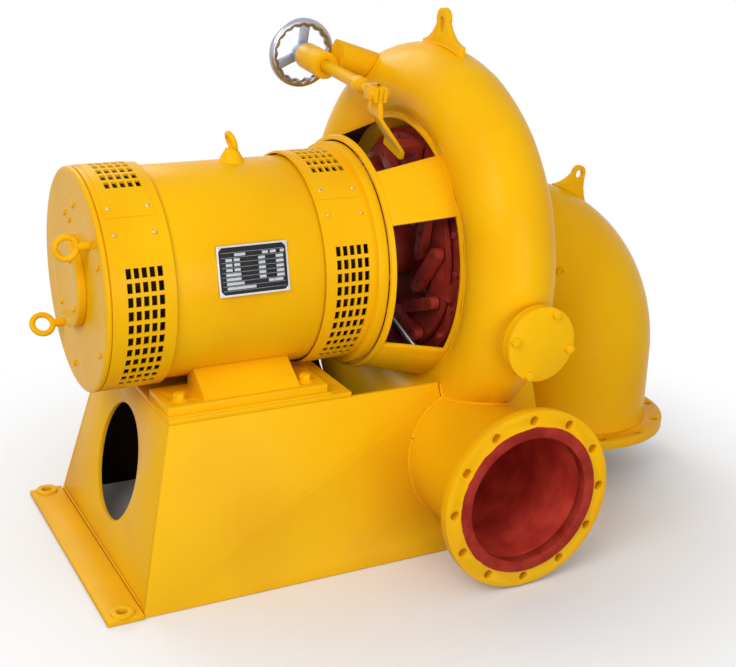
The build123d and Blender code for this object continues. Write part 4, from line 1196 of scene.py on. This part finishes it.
# %% [markdown]
# ## Floor, light and camera
# A plain pale floor keeps the machine's shadow and fades into a white backdrop. Broad
# soft lamps, the strongest on the left, match the photograph: there the left and the top
# are bright and the elbow falls into shade. Camera, glossy and transmission rays all see
# the same white, so that metal and glass show that background too.

# %% Floor
def seen_rays(link):
    """1 for the rays that show the background, and 0 for the rays that only light."""
    rays = link.node("ShaderNodeLightPath")
    camera, glossy, clear = (
        Link(rays.tree, rays.socket.node.outputs[name])
        for name in ("Is Camera Ray", "Is Glossy Ray", "Is Transmission Ray")
    )
    return camera.maths("MAXIMUM", glossy).maths("MAXIMUM", clear)


def floor_finish():
    """Pale floor near the machine that fades into the white of the backdrop."""
    material, place = start_finish("studio_floor")
    x, y = axes_of(place)[:2]
    far = distance_from(x, y, (0.2, 0.0)).step(0.6, 1.5)
    speckle = noise(place, 30.0, 3.0) * 0.02 + 0.98
    seen = seen_rays(place)
    sockets = {
        "Base Color": mix(seen * speckle, (0.36, 0.36, 0.36), (0.88, 0.88, 0.88)),
        "Roughness": 0.85,
    }
    ground = place.node("ShaderNodeBsdfPrincipled", None, sockets)
    white = place.node("ShaderNodeEmission", None, {"Color": (1, 1, 1, 1), "Strength": 1.0})
    both = place.node("ShaderNodeMixShader", None, {0: far * seen, 1: ground, 2: white})
    place.node("ShaderNodeOutputMaterial", None, {"Surface": both})
    return material


far = 30
corners = [(-far, -far, 0), (far, -far, 0), (far, far, 0), (-far, far, 0)]
floor_mesh = bpy.data.meshes.new("floor")
floor_mesh.from_pydata(corners, [], [(0, 1, 2, 3)])
floor = add_object("floor", floor_mesh)
floor.location.z = cad_low.z - 0.001
floor.data.materials.append(floor_finish())
print("floor at z", round(floor.location.z, 4))

# %% World
world = bpy.data.worlds.new("studio")
bpy.context.scene.world = world
world.use_nodes = True
world.node_tree.nodes.clear()
sky = Link(world.node_tree, None)
glow = {"Color": (1, 1, 1, 1), "Strength": seen_rays(sky) * 0.5 + 0.5}
background = sky.node("ShaderNodeBackground", None, glow)
sky.node("ShaderNodeOutputWorld", None, {"Surface": background})
print("world nodes:", len(world.node_tree.nodes))


# %% Lamps
def lamp(name, place, aim, size, power):
    """Square area lamp at a place, turned to a point."""
    data = bpy.data.lights.new(name, "AREA")
    data.size, data.energy = size, power
    light = add_object(name, data)
    light.location = place
    light.rotation_mode = "QUATERNION"
    light.rotation_quaternion = (Vector(aim) - Vector(place)).to_track_quat("-Z", "Y")
    print(name, "lamp,", power, "W")


lamp("key", (-3.2, -2.6, 3.4), (0, 0, 0.7), 2.8, 116)
lamp("fill", (0.1, -4.3, 0.9), (0.2, 0, 0.5), 2.4, 64)
lamp("rear", (-0.5, 3.4, 3.2), (0.2, 0, 0.8), 2.2, 60)

# %% Camera
camera_turn, camera_fall, camera_roll = (math.radians(a) for a in (27.394, 18.817, 1.539))
focal_pixels, frame_width = 1305.6, 736
level = math.cos(camera_fall)
look = Vector(
    (math.sin(camera_turn) * level, math.cos(camera_turn) * level, -math.sin(camera_fall))
)
camera_data = bpy.data.cameras.new("camera")
camera_data.sensor_width = 36.0
camera_data.lens = focal_pixels / frame_width * camera_data.sensor_width
camera_data.clip_end = 100
camera = add_object("camera", camera_data)
camera.location = (-1.2898, -2.8354, 1.5509)
camera.rotation_mode = "QUATERNION"
roll = Matrix.Rotation(-camera_roll, 4, look)
turned = roll @ look.to_track_quat("-Z", "Y").to_matrix().to_4x4()
camera.rotation_quaternion = turned.to_quaternion()
bpy.context.scene.camera = camera
bpy.context.scene.view_settings.view_transform = "Standard"
print("lens", round(camera_data.lens, 2), "mm")
